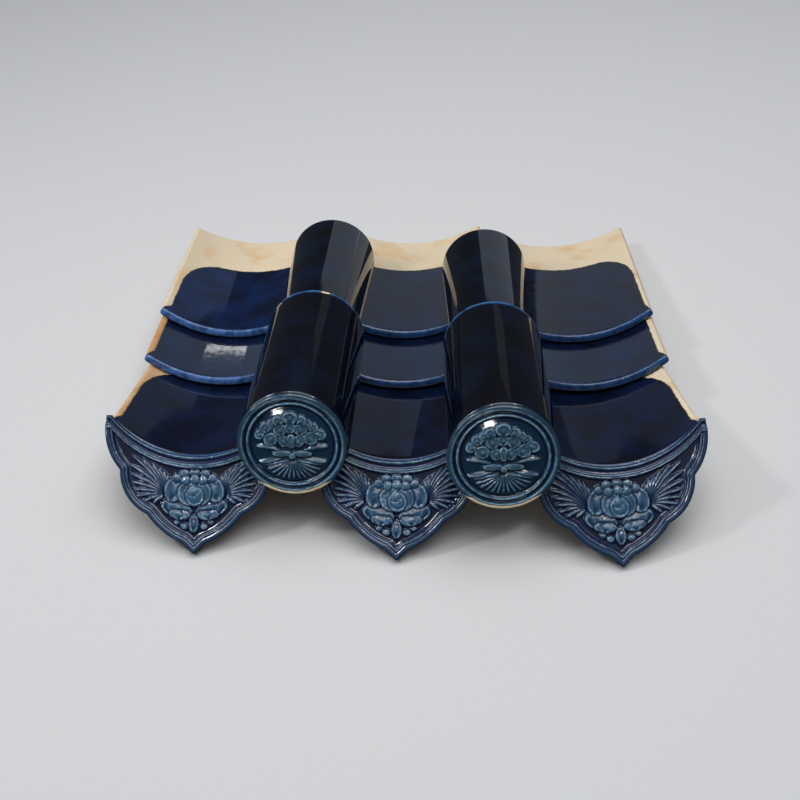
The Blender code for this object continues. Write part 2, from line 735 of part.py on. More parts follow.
def lay_covers(side, places):
    """The eaves cover and the upper cover of one pair: the disc stands in front of the faces of its columns."""
    shift, forward, degrees, columns = COVERS[side]
    turn = math.radians(degrees)
    pans = [places[column] for column in columns]
    x = (COLUMNS[columns[0]][0] + COLUMNS[columns[1]][0]) / 2 + shift
    y, fall = 0.0, 0.0
    for _ in range(12):
        reach = COVER_LENGTH * math.cos(fall) - UPPER_TUCK
        upper = upper_place(pans, x - reach * math.sin(turn), y + reach * math.cos(turn), turn)
        eaves = eaves_place(pans, upper, x, y, turn)
        fall = eaves.fall
        y += disc_clearance(Place(x, y + forward, turn, eaves.height, fall), pans) - DISC_GAP
    return eaves, upper


def finished(mesh, material):
    """Give a kind of tile its material and its smooth faces."""
    mesh.materials.append(material)
    mesh.shade_smooth()
    mesh.set_sharp_from_angle(angle=SHARP_ANGLE)


def add_tile(name, mesh, place, parent, collection):
    """Put a tile of the set at its place."""
    item = link_mesh(name, mesh, collection)
    item.parent = parent
    item.matrix_world = place.matrix()
    return item


def centred(parent, tiles):
    """Move the set so that the middle of its box stands over the origin."""
    bpy.context.view_layer.update()
    corners = np.concatenate([[tile.matrix_world @ vertex.co for vertex in tile.data.vertices] for tile in tiles])
    middle = (corners.min(axis=0) + corners.max(axis=0)) / 2
    parent.location = (-middle[0], -middle[1], 0.0)
    bpy.context.view_layer.update()


def main():
    """Build the four kinds of tile and lay the thirteen of the set."""
    clear_scene()
    tiles = new_collection("roof tile eaves set")
    workshop = new_collection("workshop")
    set_empty = bpy.data.objects.new("eaves set", None)
    tiles.objects.link(set_empty)
    meshes = {
        "drip_tile": build_drip_tile(workshop),
        "pan_tile": build_pan_tile(workshop),
        "eaves_cover": build_eaves_cover(workshop),
        "upper_cover": build_upper_cover(workshop),
    }
    for kind, mesh in meshes.items():
        finished(welded(mesh), glazed("glaze of the " + kind.replace("_", " "), GLAZES[kind]))
    places = lay_pans()
    laid = []
    for side, (drip, middle, top) in places.items():
        laid += [
            (f"drip_tile_{side}", "drip_tile", drip[1]),
            (f"middle_pan_tile_{side}", "pan_tile", middle[1]),
            (f"top_pan_tile_{side}", "pan_tile", top[1]),
        ]
    for side in COVERS:
        eaves, upper = lay_covers(side, places)
        laid += [
            (f"eaves_cover_tile_{side}", "eaves_cover", eaves),
            (f"upper_cover_tile_{side}", "upper_cover", upper),
        ]
    added = [add_tile(name, meshes[kind], place, set_empty, tiles) for name, kind, place in laid]
    centred(set_empty, added)


main()
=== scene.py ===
"""A laid eaves section of navy glazed clay roof tiles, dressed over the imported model.

Metres, +Z up, the hanging faces towards -Y. Every tile is worked out in its own frame, where X runs
across it, Y runs from its front end to its head and Z stands on its glazed side, and is then laid at
its place in the set.
"""
import json
import logging
import math
from dataclasses import dataclass, field, replace
from functools import partial

import bmesh
import bpy
import numpy as np
from mathutils import Matrix, Vector

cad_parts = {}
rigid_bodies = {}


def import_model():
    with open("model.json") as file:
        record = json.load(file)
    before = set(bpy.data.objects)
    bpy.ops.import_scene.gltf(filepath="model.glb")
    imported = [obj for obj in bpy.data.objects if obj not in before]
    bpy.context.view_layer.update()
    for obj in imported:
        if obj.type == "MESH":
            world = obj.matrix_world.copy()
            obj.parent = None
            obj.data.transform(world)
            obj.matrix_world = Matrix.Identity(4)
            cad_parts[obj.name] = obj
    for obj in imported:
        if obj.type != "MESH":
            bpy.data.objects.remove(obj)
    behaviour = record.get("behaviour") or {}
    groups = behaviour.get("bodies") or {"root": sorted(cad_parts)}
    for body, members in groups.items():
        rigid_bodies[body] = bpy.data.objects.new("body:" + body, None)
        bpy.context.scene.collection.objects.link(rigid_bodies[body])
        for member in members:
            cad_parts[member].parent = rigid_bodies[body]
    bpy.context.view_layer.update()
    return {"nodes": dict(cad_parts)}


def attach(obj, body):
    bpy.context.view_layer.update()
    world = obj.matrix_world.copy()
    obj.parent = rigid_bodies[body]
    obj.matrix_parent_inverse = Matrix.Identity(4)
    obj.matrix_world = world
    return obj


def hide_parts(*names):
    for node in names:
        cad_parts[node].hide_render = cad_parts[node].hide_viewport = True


LOG = logging.getLogger("eaves set")
MM = 0.001
Array = np.ndarray


def sine_cosine(degrees: float) -> tuple[float, float]:
    """Sine and cosine of an angle in degrees."""
    angle = math.radians(degrees)
    return math.sin(angle), math.cos(angle)


@dataclass(frozen=True)
class Place:
    """Where a laid tile's own origin is, how far it falls to the rear and how it is turned."""

    x: float
    y: float
    z: float
    fall: float
    turn: float = 0.0

    def lay(self, points: Array) -> Array:
        """Carry points from the tile's frame into the set's frame.

        The points are tipped about X by the fall, turned about Z and then moved.

        Args:
            points: Points in metres, with the coordinates last.

        Returns:
            The points in the set's frame, in the same layout.
        """
        tip = Matrix.Rotation(-math.radians(self.fall), 3, "X")
        turn = Matrix.Rotation(math.radians(self.turn), 3, "Z")
        return points @ np.array(turn @ tip).T + np.array([self.x, self.y, self.z])


@dataclass(frozen=True)
class Column:
    """A column of three pans on the plan: the front lip's place, the column's turn and each pan's own."""

    x: float
    y: float
    turn: float
    pan_turns: tuple[float, float, float]
    stray: float = 0.0


@dataclass(frozen=True)
class Pair:
    """An eaves cover and its upper cover on the plan: the disc's place and the turn of both."""

    x: float
    y: float
    turn: float


# The plan of the laid set, in metres and degrees
COLUMNS = {
    "left": Column(-0.25049, -0.24403, 0.0, (-1.0, 0.0, -0.4)),
    "middle": Column(-0.00469, -0.25403, 0.0, (-0.8, 0.4, 0.4), stray=0.004),
    "right": Column(0.25321, -0.26403, 4.0, (5.4, 3.5, 2.6)),
}
PAIRS = {
    "left": Pair(-0.12539, -0.26875, -0.5),
    "right": Pair(0.12026, -0.29620, 1.5),
}
# How much of each pan shows before the next one's lip, front to back
EXPOSURES = (0.200, 0.108)
ROWS = ("drip_tile", "middle_pan_tile", "top_pan_tile")
COVER_LENGTH = 0.262
COVER_RADIUS = 0.0642
UPPER_LENGTH = 0.258
UPPER_LIP_RADIUS = 0.05128
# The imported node's lip is a little slimmer, and its crest line gives the height and the fall.
UPPER_PACKED_LIP_RADIUS = 0.0512
UPPER_HEAD_RADIUS = 0.0615
# The upper cover's lip goes this far into the eaves cover's head.
UPPER_TUCK = 0.020


def step(x: float, y: float, turn: float, way: float) -> tuple[float, float]:
    """A place on the plan that lies some way back from another, along a turn in degrees."""
    sine, cosine = sine_cosine(turn)
    return x - way * sine, y + way * cosine


def rest(node: bpy.types.Object, x: float, y: float, turn: float, crown: float = 0.0,
         taper: float = 0.0) -> Place:
    """Lay a tile over a place on the plan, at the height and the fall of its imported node.

    Two points straight down on the node's middle line give its slope. The line stands at the crown over
    the tile's origin and rises by the taper, so the fall is the slope's angle and the taper's together.

    Args:
        node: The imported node.
        x: The origin's place across the plan.
        y: The origin's place along the plan.
        turn: The tile's turn in degrees.
        crown: Height of the middle line over the tile's origin, in the tile's frame.
        taper: Rise of the middle line for each metre back.

    Returns:
        The tile's place.
    """
    near, far, above = 0.050, 0.230, 1.0
    heights = []
    for way in (near, far):
        hit, point, _, _ = node.ray_cast((*step(x, y, turn, way), above), (0.0, 0.0, -1.0))
        if not hit:
            raise ValueError(f"{node.name} has no surface over its middle line")
        heights.append(point.z)
    slope = (heights[0] - heights[1]) / (far - near)
    fall = math.atan(slope) + math.atan(taper)
    z = heights[0] + (near - crown * math.sin(fall)) * slope - crown * math.cos(fall)
    return Place(x, y, z, math.degrees(fall), turn)


def lay_set(nodes: dict[str, bpy.types.Object]) -> dict[str, Place]:
    """Lay the thirteen tiles: columns of pans from front to back, then the pairs of covers.

    Args:
        nodes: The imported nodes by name.

    Returns:
        Each tile's place by its node's name.
    """
    places = {}
    for side, column in COLUMNS.items():
        x, y = column.x, column.y
        shown = (*EXPOSURES, 0.0)
        strays = (0.0, column.stray, 0.0)
        for row, turn, length, stray in zip(ROWS, column.pan_turns, shown, strays):
            node = f"{row}_{side}"
            places[node] = rest(nodes[node], x, y, turn)
            x, y = step(x, y, column.turn, length * sine_cosine(places[node].fall)[1] + stray)
    taper = (UPPER_HEAD_RADIUS - UPPER_PACKED_LIP_RADIUS) / UPPER_LENGTH
    for side, pair in PAIRS.items():
        eaves, upper = f"eaves_cover_tile_{side}", f"upper_cover_tile_{side}"
        places[eaves] = rest(nodes[eaves], pair.x, pair.y, pair.turn, COVER_RADIUS)
        way = COVER_LENGTH * sine_cosine(places[eaves].fall)[1] - UPPER_TUCK
        place = step(pair.x, pair.y, pair.turn, way)
        places[upper] = rest(nodes[upper], *place, pair.turn, UPPER_PACKED_LIP_RADIUS, taper)
    return places


@dataclass
class Shell:
    """A closed surface on a grid of rows and columns; the last row goes on into the first.

    The values are kept at every point: the reach of the glaze over the clay in metres, how thin the
    glaze lies from 0 to 1, which also places a painted sheen of clear blue and pale colour at lips,
    rims and crests, and the height of the relief from 0 to 1.
    """

    points: Array
    reach: Array
    thin: Array
    relief: Array

    def faces(self, start: int) -> Array:
        """Corner numbers of the grid's quads.

        Args:
            start: Number of the grid's first point.

        Returns:
            The corner numbers, four to a row.
        """
        rows, columns = self.points.shape[:2]
        number = np.arange(rows * columns).reshape(rows, columns) + start
        following = np.roll(number, -1, axis=0)
        quads = [number[:, :-1], number[:, 1:], following[:, 1:], following[:, :-1]]
        return np.stack(quads, axis=-1).reshape(-1, 4)


def smooth_step(value: Array, low: float, high: float) -> Array:
    """Rise from 0 at the low end to 1 at the high end along 3 t squared less 2 t cubed."""
    share = np.clip((value - low) / (high - low), 0.0, 1.0)
    return share * share * (3.0 - 2.0 * share)


def bump(value: Array, middle: float, half: float) -> Array:
    """A round ridge across a value: the square of one less its own squared share of the half width."""
    inside = np.clip(1.0 - np.square((value - middle) / half), 0.0, None)
    return np.square(inside)


def edge_lines(length: float, rounding: float, edge: int, inner: int) -> Array:
    """Places of grid lines along a length, close together in the rounding at both ends.

    Args:
        length: The whole length.
        rounding: The length of the rounding at each end.
        edge: Number of lines in each rounding.
        inner: Number of lines between the roundings.

    Returns:
        The places, from 0 to the length.
    """
    turn = np.linspace(0.0, math.pi / 2, edge + 1)
    start = rounding * (1.0 - np.cos(turn))
    middle = np.linspace(rounding, length - rounding, inner + 2)[1:-1]
    return np.concatenate([start, middle, (length - start)[::-1]])


def wall_shell(upper: Array, normals: Array, thickness: float, fullness: Array,
               reach: Array, under_reach: Array, thin: Array) -> Shell:
    """A wall with rounded edges: two sheets either side of its middle surface that meet at the edges.

    Each sheet stands off the middle surface along the normal by half the thickness times the fullness,
    which is 1 inside and falls to 0 at every edge.

    Args:
        upper: Grid of points on the upper side as if it had no rounding.
        normals: Unit normals of the upper side.
        thickness: The wall's thickness.
        fullness: Share of the half thickness at every point.
        reach: Reach of the glaze on the upper side.
        under_reach: Reach of the glaze on the under side.
        thin: How thin the glaze lies, which also places a painted sheen at lips, rims and crests.

    Returns:
        The closed shell.
    """
    middle = upper - normals * thickness / 2
    offset = normals * (fullness * thickness / 2)[..., None]
    points = np.concatenate([middle + offset, (middle - offset)[::-1]])
    thin = np.broadcast_to(thin, fullness.shape)
    return Shell(
        points=points,
        reach=np.concatenate([reach, under_reach[::-1]]),
        thin=np.concatenate([thin, thin[::-1]]),
        relief=np.zeros(points.shape[:2]),
    )


def end_fullness(distance: Array, rounding: float, power: float = 2.4) -> Array:
    """Fullness of a wall near an end: a rounded quarter of a superellipse over the rounding."""
    share = np.clip(distance / rounding, 0.0, 1.0)
    return (1.0 - (1.0 - share) ** power) ** (1.0 / power)


def arc_height(across: Array, radius: Array | float) -> Array:
    """Height of a circular trough: the radius less the root of its square less the squared offset."""
    return radius - np.sqrt(np.clip(np.square(radius) - np.square(across), 0.0, None))


def glazed_field_reach(across: Array, along: Array, half: Array, end: float,
                       corner: tuple[float, float]) -> Array:
    """How far a point lies inside a glazed field with straight sides, a straight head and two oval corners.

    Over the corner's oval the reach is its half width times one less the oval's own radius, and elsewhere
    it is the shorter way to the side or to the head, measured in the same shares.

    Args:
        across: Places across the tile.
        along: Places along the tile.
        half: Half the field's width.
        end: Place of the field's head.
        corner: The corner's size across and along.

    Returns:
        The reach, positive inside the field.
    """
    over_side = (np.abs(across) - half + corner[0]) / corner[0]
    over_head = (along - end + corner[1]) / corner[1]
    outside = np.hypot(np.maximum(over_side, 0.0), np.maximum(over_head, 0.0))
    inside = np.minimum(np.maximum(over_side, over_head), 0.0)
    return corner[0] * (1.0 - outside - inside)


def build_piece(name: str, shells: list[Shell], place: Place) -> bpy.types.Object:
    """Make one mesh object of closed shells, weld its poles and edges and turn its faces outward.

    Args:
        name: The piece's name.
        shells: Its closed shells, in the tile's frame.
        place: Where the tile lies.

    Returns:
        The object, at the origin, with its place in its mesh.
    """
    points = np.concatenate([shell.points.reshape(-1, 3) for shell in shells])
    starts = np.cumsum([0] + [shell.points[..., 0].size for shell in shells])
    faces = np.concatenate([shell.faces(int(start)) for shell, start in zip(shells, starts)])
    mesh = bpy.data.meshes.new(name)
    mesh.from_pydata(place.lay(points), [], faces)
    for label in ("reach", "thin", "relief"):
        values = np.concatenate([getattr(shell, label).ravel() for shell in shells])
        layer = mesh.attributes.new(label, "FLOAT", "POINT")
        layer.data.foreach_set("value", values.astype(np.float32))
    work = bmesh.new()
    work.from_mesh(mesh)
    bmesh.ops.remove_doubles(work, verts=work.verts, dist=2e-6)
    bmesh.ops.dissolve_degenerate(work, edges=work.edges, dist=1e-7)
    bmesh.ops.recalc_face_normals(work, faces=work.faces)
    work.to_mesh(mesh)
    work.free()
    mesh.shade_smooth()
    piece = bpy.data.objects.new(name, mesh)
    bpy.context.scene.collection.objects.link(piece)
    return piece


@dataclass
class PanTile:
    """A concave pan tile: a trough that widens from its bowed lip to its head."""

    length: float = 0.290
    lip_width: float = 0.209
    head_width: float = 0.216
    lip_radius: float = 0.183
    head_radius: float = 0.208
    thickness: float = 0.012
    lip_bow: float = 0.012
    lip_slope: float = 0.0
    set_back: float = 0.0
    rounding: float = 0.0042
    head_band: float = 0.098
    side_margin: float = 0.0065
    corner: tuple[float, float] = (0.045, 0.080)
    # Over this stretch behind the lip the glaze lies thin, and the lip is painted a clearer blue that is
    # partly a painted sky reflection.
    lip_band: tuple[float, float] = (0.0016, 0.0046)
    # Behind the lip the glaze reaches the sides, and it draws in to the margin over this stretch.
    margin_ramp: tuple[float, float] = (0.003, 0.022)
    # The glaze runs under the lip by this many roundings.
    lip_wrap: float = 1.6

    def half_width(self, share: Array) -> Array:
        """Half the width at a share of the length, straight from the lip's to the head's."""
        return (self.lip_width + (self.head_width - self.lip_width) * share) / 2

    def radius(self, share: Array) -> Array:
        """Radius of the section at a share of the length, straight from the lip's to the head's."""
        return self.lip_radius + (self.head_radius - self.lip_radius) * share

    def lip(self, across: Array) -> Array:
        """How far the lip stands back: a parabolic bow, or the trough's height times a face's slope.

        Args:
            across: Places across the lip.

        Returns:
            The distances.
        """
        if self.lip_slope:
            return self.lip_slope * arc_height(across, self.lip_radius)
        return self.lip_bow * np.square(across / (self.lip_width / 2))

    def shell(self) -> Shell:
        """The trough: each grid line across is an arc, and the lines along run from the lip to the head.

        Returns:
            The closed shell.
        """
        widths = edge_lines(self.lip_width, self.rounding, edge=5, inner=56)
        sides = (widths / self.lip_width * 2 - 1)[None, :]
        lengths = edge_lines(self.length, self.rounding, edge=6, inner=56)[:, None]
        share = lengths / self.length
        start = self.lip(sides * self.lip_width / 2) + self.set_back
        along = start * (1 - share) + self.length * share
        across = sides * self.half_width(along / self.length)
        radius = self.radius(along / self.length)
        upper = np.stack([across, along, arc_height(across, radius)], axis=-1)
        normals = np.stack([-across / radius, np.zeros_like(across),
                            np.sqrt(1.0 - np.square(across / radius))], axis=-1)
        from_side = np.minimum(widths, self.lip_width - widths)[None, :]
        from_end = np.minimum(lengths, self.length - lengths)
        fullness = end_fullness(from_side, self.rounding) * end_fullness(from_end, self.rounding)
        margin = self.side_margin * smooth_step(lengths, *self.margin_ramp)
        half = self.half_width(along / self.length) - margin
        reach = glazed_field_reach(across, along, half, self.length - self.head_band, self.corner)
        under = np.minimum(reach, self.rounding * self.lip_wrap - lengths)
        # Thin glaze at the lip, painted a clearer blue that is partly a painted sky reflection.
        thin = 1.0 - smooth_step(lengths, *self.lip_band)
        return wall_shell(upper, normals, self.thickness, fullness, reach, under, thin)


@dataclass(frozen=True)
class Petal:
    """A pressed petal: a dome on an oval with a raised rim, scalloped round its edge.

    Its place, its half sizes and its lift are in millimetres, and its turn is in radians.
    """

    across: float
    up: float
    half_length: float
    half_width: float
    turn: float
    lift: float
    scallops: int = 0
    ribs: int = 0
    cup: float = 0.10

    def press(self, height: Array, x: Array, y: Array) -> Array:
        """Lay the petal over a height field.

        Inside the oval the height is the lift times a dome plus a ridge near the edge, less a rib wave
        that runs round the petal's foot; outside it the field stays.

        Args:
            height: The field's height in metres.
            x: Places across in metres.
            y: Places up in metres.

        Returns:
            The new height field.
        """
        across, up = x / MM - self.across, y / MM - self.up
        cosine, sine = math.cos(self.turn), math.sin(self.turn)
        u = (across * cosine + up * sine) / self.half_length
        v = (up * cosine - across * sine) / self.half_width
        scallop_depth = 0.07 if self.scallops else 0.0
        rho = np.hypot(u, v) / (1.0 + scallop_depth * np.cos(np.arctan2(u, v) * self.scallops))
        edge_height, rim_place, rim_width = 0.62, 0.84, 0.12
        dome = edge_height + (1.0 - edge_height) * (1.0 - np.square(rho))
        rim = self.cup * np.exp(-np.square((rho - rim_place) / rim_width))
        rib_depth, foot = (0.16 if self.ribs else 0.0), 1.15
        fan = rib_depth * np.cos(np.arctan2(u, v + foot) * self.ribs) * smooth_step(rho, 0.15, 0.5)
        own = self.lift * MM * (dome + rim - fan) * smooth_step(1.0 - rho, 0.0, rim_width)
        covered = height * smooth_step(rho, 0.9, 1.0)
        return np.where(rho < 1.0, np.maximum(own, covered), height)


@dataclass(frozen=True)
class Blade:
    """A pressed leaf blade: a sharp ridge from its root to its tip, with its sizes in millimetres."""

    root: tuple[float, float]
    tip: tuple[float, float]
    half_width: float
    lift: float
    bend: float = 0.0

    def press(self, height: Array, x: Array, y: Array) -> Array:
        """Lay the blade over a height field.

        Along the blade the width follows the sine of the way, and across it the height is a steep ridge,
        a power of the share left to the blade's edge.

        Args:
            height: The field's height in metres.
            x: Places across in metres.
            y: Places up in metres.

        Returns:
            The new height field.
        """
        way = np.array(self.tip) - np.array(self.root)
        length = float(np.hypot(*way))
        across, up = x / MM - self.root[0], y / MM - self.root[1]
        along = (across * way[0] + up * way[1]) / length ** 2
        share = np.clip(along, 0.0, 1.0)
        arch = np.sin(math.pi * share)
        aside = (up * way[0] - across * way[1]) / length - self.bend * length * arch
        tip_lean, fullness, least_width = 1.2, 0.6, 1e-6
        width = self.half_width * np.sin(math.pi * share ** tip_lean) ** fullness + least_width
        rho = np.abs(aside) / width
        inside = (along > 0.0) & (along < 1.0) & (rho < 1.0)
        steepness, end_height = 0.7, 0.6
        ridge = np.clip(1.0 - rho, 0.0, 1.0) ** steepness
        own = self.lift * MM * ridge * (end_height + (1.0 - end_height) * arch)
        return np.where(inside, np.maximum(own, height), height)


def softened(height: Array, passes: int) -> Array:
    """Soften a height field as a worn mould does: each pass is a quarter, half, quarter mean both ways.

    Args:
        height: The height field.
        passes: Number of passes.

    Returns:
        The softened field.
    """
    for _ in range(passes):
        padded = np.pad(height, 1, mode="edge")
        rows = (padded[:-2] + 2 * padded[1:-1] + padded[2:]) / 4
        height = (rows[:, :-2] + 2 * rows[:, 1:-1] + rows[:, 2:]) / 4
    return height


def crest(height: Array, scale: float) -> Array:
    """How much a height field stands over its softened self, over a scale, cut to the range from 0 to 1."""
    surroundings = softened(height, passes=14)
    return np.clip((height - surroundings) / scale, 0.0, 1.0)


@dataclass
class Plate:
    """A pressed plate of clay that leans over from upright: a front with relief and a plain back."""

    lean: float = 30.0
    thickness: float = 0.012
    depth: float = 0.0035
    rounding: float = 0.0024
    # The glaze is thinnest where the relief stands this far over its surroundings, and the pale crest colour
    # there is partly a painted highlight.
    crest_height: float = 0.0009

    def closed(self, x: Array, y: Array, height: Array, edge: Array, kept: Array,
               reach: Array, back_reach: Array) -> Shell:
        """Close the plate: the front, rounded at its edge, and a back on the rows that are kept.

        Args:
            x: Places across the plate.
            y: Places up the plate.
            height: Height of the front over the plate's plane.
            edge: Distance to the plate's edge.
            kept: Numbers of the front's rows that the back keeps.
            reach: Reach of the glaze in front.
            back_reach: Reach of the glaze on the back.

        Returns:
            The closed shell in the tile's frame.
        """
        inward = np.clip(self.rounding - edge, 0.0, self.rounding)
        fallen = self.rounding - np.sqrt(self.rounding ** 2 - np.square(inward))
        front = np.stack([x, y, height - fallen], axis=-1)
        back = np.stack([x, y, fallen - self.thickness], axis=-1)[kept][::-1]
        relief = np.clip((height + self.depth) / (2 * self.depth), 0.0, 1.0)
        zeros = np.zeros(back.shape[:2])
        return Shell(
            points=self.stand(np.concatenate([front, back])),
            reach=np.concatenate([reach, back_reach[kept][::-1]]),
            # Crests take thin glaze and a pale colour that is partly a painted highlight.
            thin=np.concatenate([crest(height, self.crest_height), zeros]),
            relief=np.concatenate([relief, zeros]),
        )

    def stand(self, points: Array) -> Array:
        """Carry points from the plate's plane, X across, Y up and Z out of it, into the tile's frame.

        Args:
            points: Points in metres, with the coordinates last.

        Returns:
            The points in the tile's frame, in the same layout.
        """
        sine, cosine = sine_cosine(self.lean)
        turn = np.array([[1.0, 0.0, 0.0], [0.0, sine, -cosine], [0.0, cosine, sine]])
        return points @ turn.T


@dataclass
class DripFace(Plate):
    """The hanging face of a drip tile: an ogee outline under the trough's line, with pressed relief."""

    lip_width: float = 0.207
    lip_radius: float = 0.154
    wall: float = 0.012
    rise: float = 0.0012
    shoulder: tuple[float, float] = (0.0935, -0.016)
    notch: tuple[float, float] = (0.0585, -0.070)
    shank: tuple[float, float] = (0.0140, -0.1045)
    tip: tuple[float, float] = (0.0015, -0.1165)
    bulges: tuple[float, float, float] = (0.0085, 0.0095, 0.0040)
    moulding: float = 0.0155
    rim: float = 0.0095
    level_end: float = 0.003
    # The glaze covers the whole front and runs round the edge by this many roundings.
    back_wrap: float = 2.2

    def top(self, across: Array | float) -> Array:
        """Height of the trough's line in the face's plane: the arc's height over the cosine of the lean."""
        # Past the trough's own edge it stays level, which leaves the outer corner blunt.
        within = np.minimum(np.abs(np.asarray(across)), self.lip_width / 2 + self.level_end)
        return arc_height(within, self.lip_radius) / sine_cosine(self.lean)[1]

    def half_width(self) -> float:
        """Half the face's width, which covers the cut end of the trough's side wall."""
        half = self.lip_width / 2
        return half + self.wall * half / self.lip_radius

    def side(self, count: int) -> Array:
        """Points of the right side from the corner to the point: three swelling arcs and a straight.

        Args:
            count: Number of points on each arc.

        Returns:
            The points in a row.
        """
        corner = (self.half_width(), float(self.top(self.half_width())) + self.rise)
        stops = [corner, self.shoulder, self.notch, self.shank]
        arcs = [swelling_arc(start, end, bulge, count)
                for start, end, bulge in zip(stops, stops[1:], self.bulges)]
        arcs.append(np.linspace(self.shank, self.tip, count // 3))
        point = (0.0, self.tip[1] - 0.0006)
        arcs.append(np.array([point]))
        return np.concatenate(arcs)

    def outline(self, count: int) -> Array:
        """The lower outline from the left corner to the right one, at equal steps along its length.

        Args:
            count: Number of points.

        Returns:
            The points in a row.
        """
        side = self.side(60)
        whole = np.concatenate([side * np.array([-1.0, 1.0]), side[::-1][1:]])
        steps = np.hypot(*np.diff(whole, axis=0).T)
        way = np.concatenate([[0.0], np.cumsum(steps)])
        places = np.linspace(0.0, way[-1], count)
        return np.stack([np.interp(places, way, line) for line in whole.T], axis=-1)

    def shell(self) -> Shell:
        """The face as a closed shell: a ruled grid between the trough's line and the lower outline.

        Returns:
            The closed shell.
        """
        columns, rows, edge_rows = 441, 132, 5
        lower = self.outline(columns)
        across = np.linspace(-self.half_width(), self.half_width(), columns)
        upper = np.stack([across, self.top(across) + self.rise], axis=-1)
        share = edge_lines(1.0, 0.022, edge_rows, rows - 12)[:, None, None]
        flat = upper * (1 - share) + lower * share
        x, y = flat[..., 0], flat[..., 1]
        from_side = outline_distance(x, y, self.outline(601))
        drop = self.top(x) + self.rise - y
        edge = np.minimum(from_side, drop)
        kept = np.r_[0:edge_rows + 1, edge_rows + 1:rows - 6:12, rows - 6:len(share)]
        full = np.full(x.shape, 0.02)
        return self.closed(x, y, self.height(x, y, from_side, drop), edge, kept, full,
                           self.rounding * self.back_wrap - edge)

    def height(self, x: Array, y: Array, from_side: Array, drop: Array) -> Array:
        """Height of the front over its own plane: the rim, the fillet, the moulding and the peony.

        Args:
            x: Places across the face.
            y: Places up the face.
            from_side: Distance to the lower outline.
            drop: Distance below the trough's line.

        Returns:
            The height in metres, below 0 in the sunk field.
        """
        plant = np.zeros_like(x)
        for shape in face_peony():
            plant = shape.press(plant, x, y)
        plant = plant * smooth_step(from_side, self.rim, self.rim + 0.003)
        plant = plant * smooth_step(drop, self.moulding, self.moulding + 0.002)
        below = smooth_step(drop, self.moulding - 0.0010, self.moulding + 0.0014)
        sunk_field = self.depth * smooth_step(from_side, self.rim - 0.0012, self.rim + 0.0022) * below
        fillet = 0.0010 * bump(from_side, self.rim + 0.0032, 0.0017) * below
        rim_groove = 0.0011 * bump(from_side, self.rim * 0.70, 0.0013) * below
        cove = 0.0014 * smooth_step(drop, 0.0040, 0.0056) * (1 - smooth_step(drop, 0.0088, 0.0100))
        height = plant - sunk_field + fillet - rim_groove - cove
        for place, half_width in ((0.0026, 0.0020), (0.0112, 0.0014), (self.moulding - 0.0012, 0.0014)):
            bead = 0.0012 * bump(drop, place, half_width)
            height = height + bead
        return softened(height, 1)


def swelling_arc(start: tuple[float, float], end: tuple[float, float], bulge: float,
                 count: int) -> Array:
    """Points of a circular arc, without its end, that swells to the left of the way by its bulge.

    Args:
        start: The arc's first point.
        end: The arc's end.
        bulge: Height of the arc over its chord.
        count: Number of points.

    Returns:
        The points in a row.
    """
    first, last = np.array(start), np.array(end)
    chord = last - first
    length = float(np.hypot(*chord))
    radius = (length ** 2 / 4 + bulge ** 2) / (2 * bulge)
    along = np.arange(count) / count
    offset = np.sqrt(radius ** 2 - np.square((along - 0.5) * length)) - (radius - bulge)
    normal = np.array([-chord[1], chord[0]]) / length
    return first + along[:, None] * chord + offset[:, None] * normal


def outline_distance(x: Array, y: Array, line: Array) -> Array:
    """Distance from every point of a grid to the nearest stretch of a line.

    Args:
        x: The points' places across.
        y: The points' places up.
        line: Points along the line.

    Returns:
        The distances.
    """
    nearest = np.full(x.shape, 1.0)
    for start, end in zip(line[:-1], line[1:]):
        way = end - start
        share = ((x - start[0]) * way[0] + (y - start[1]) * way[1]) / float(way @ way)
        share = np.clip(share, 0.0, 1.0)
        distance = np.hypot(x - start[0] - share * way[0], y - start[1] - share * way[1])
        nearest = np.minimum(nearest, distance)
    return nearest


def mirrored(petal: Petal) -> Petal:
    """The same petal on the other side of the middle."""
    return replace(petal, across=-petal.across, turn=-petal.turn)


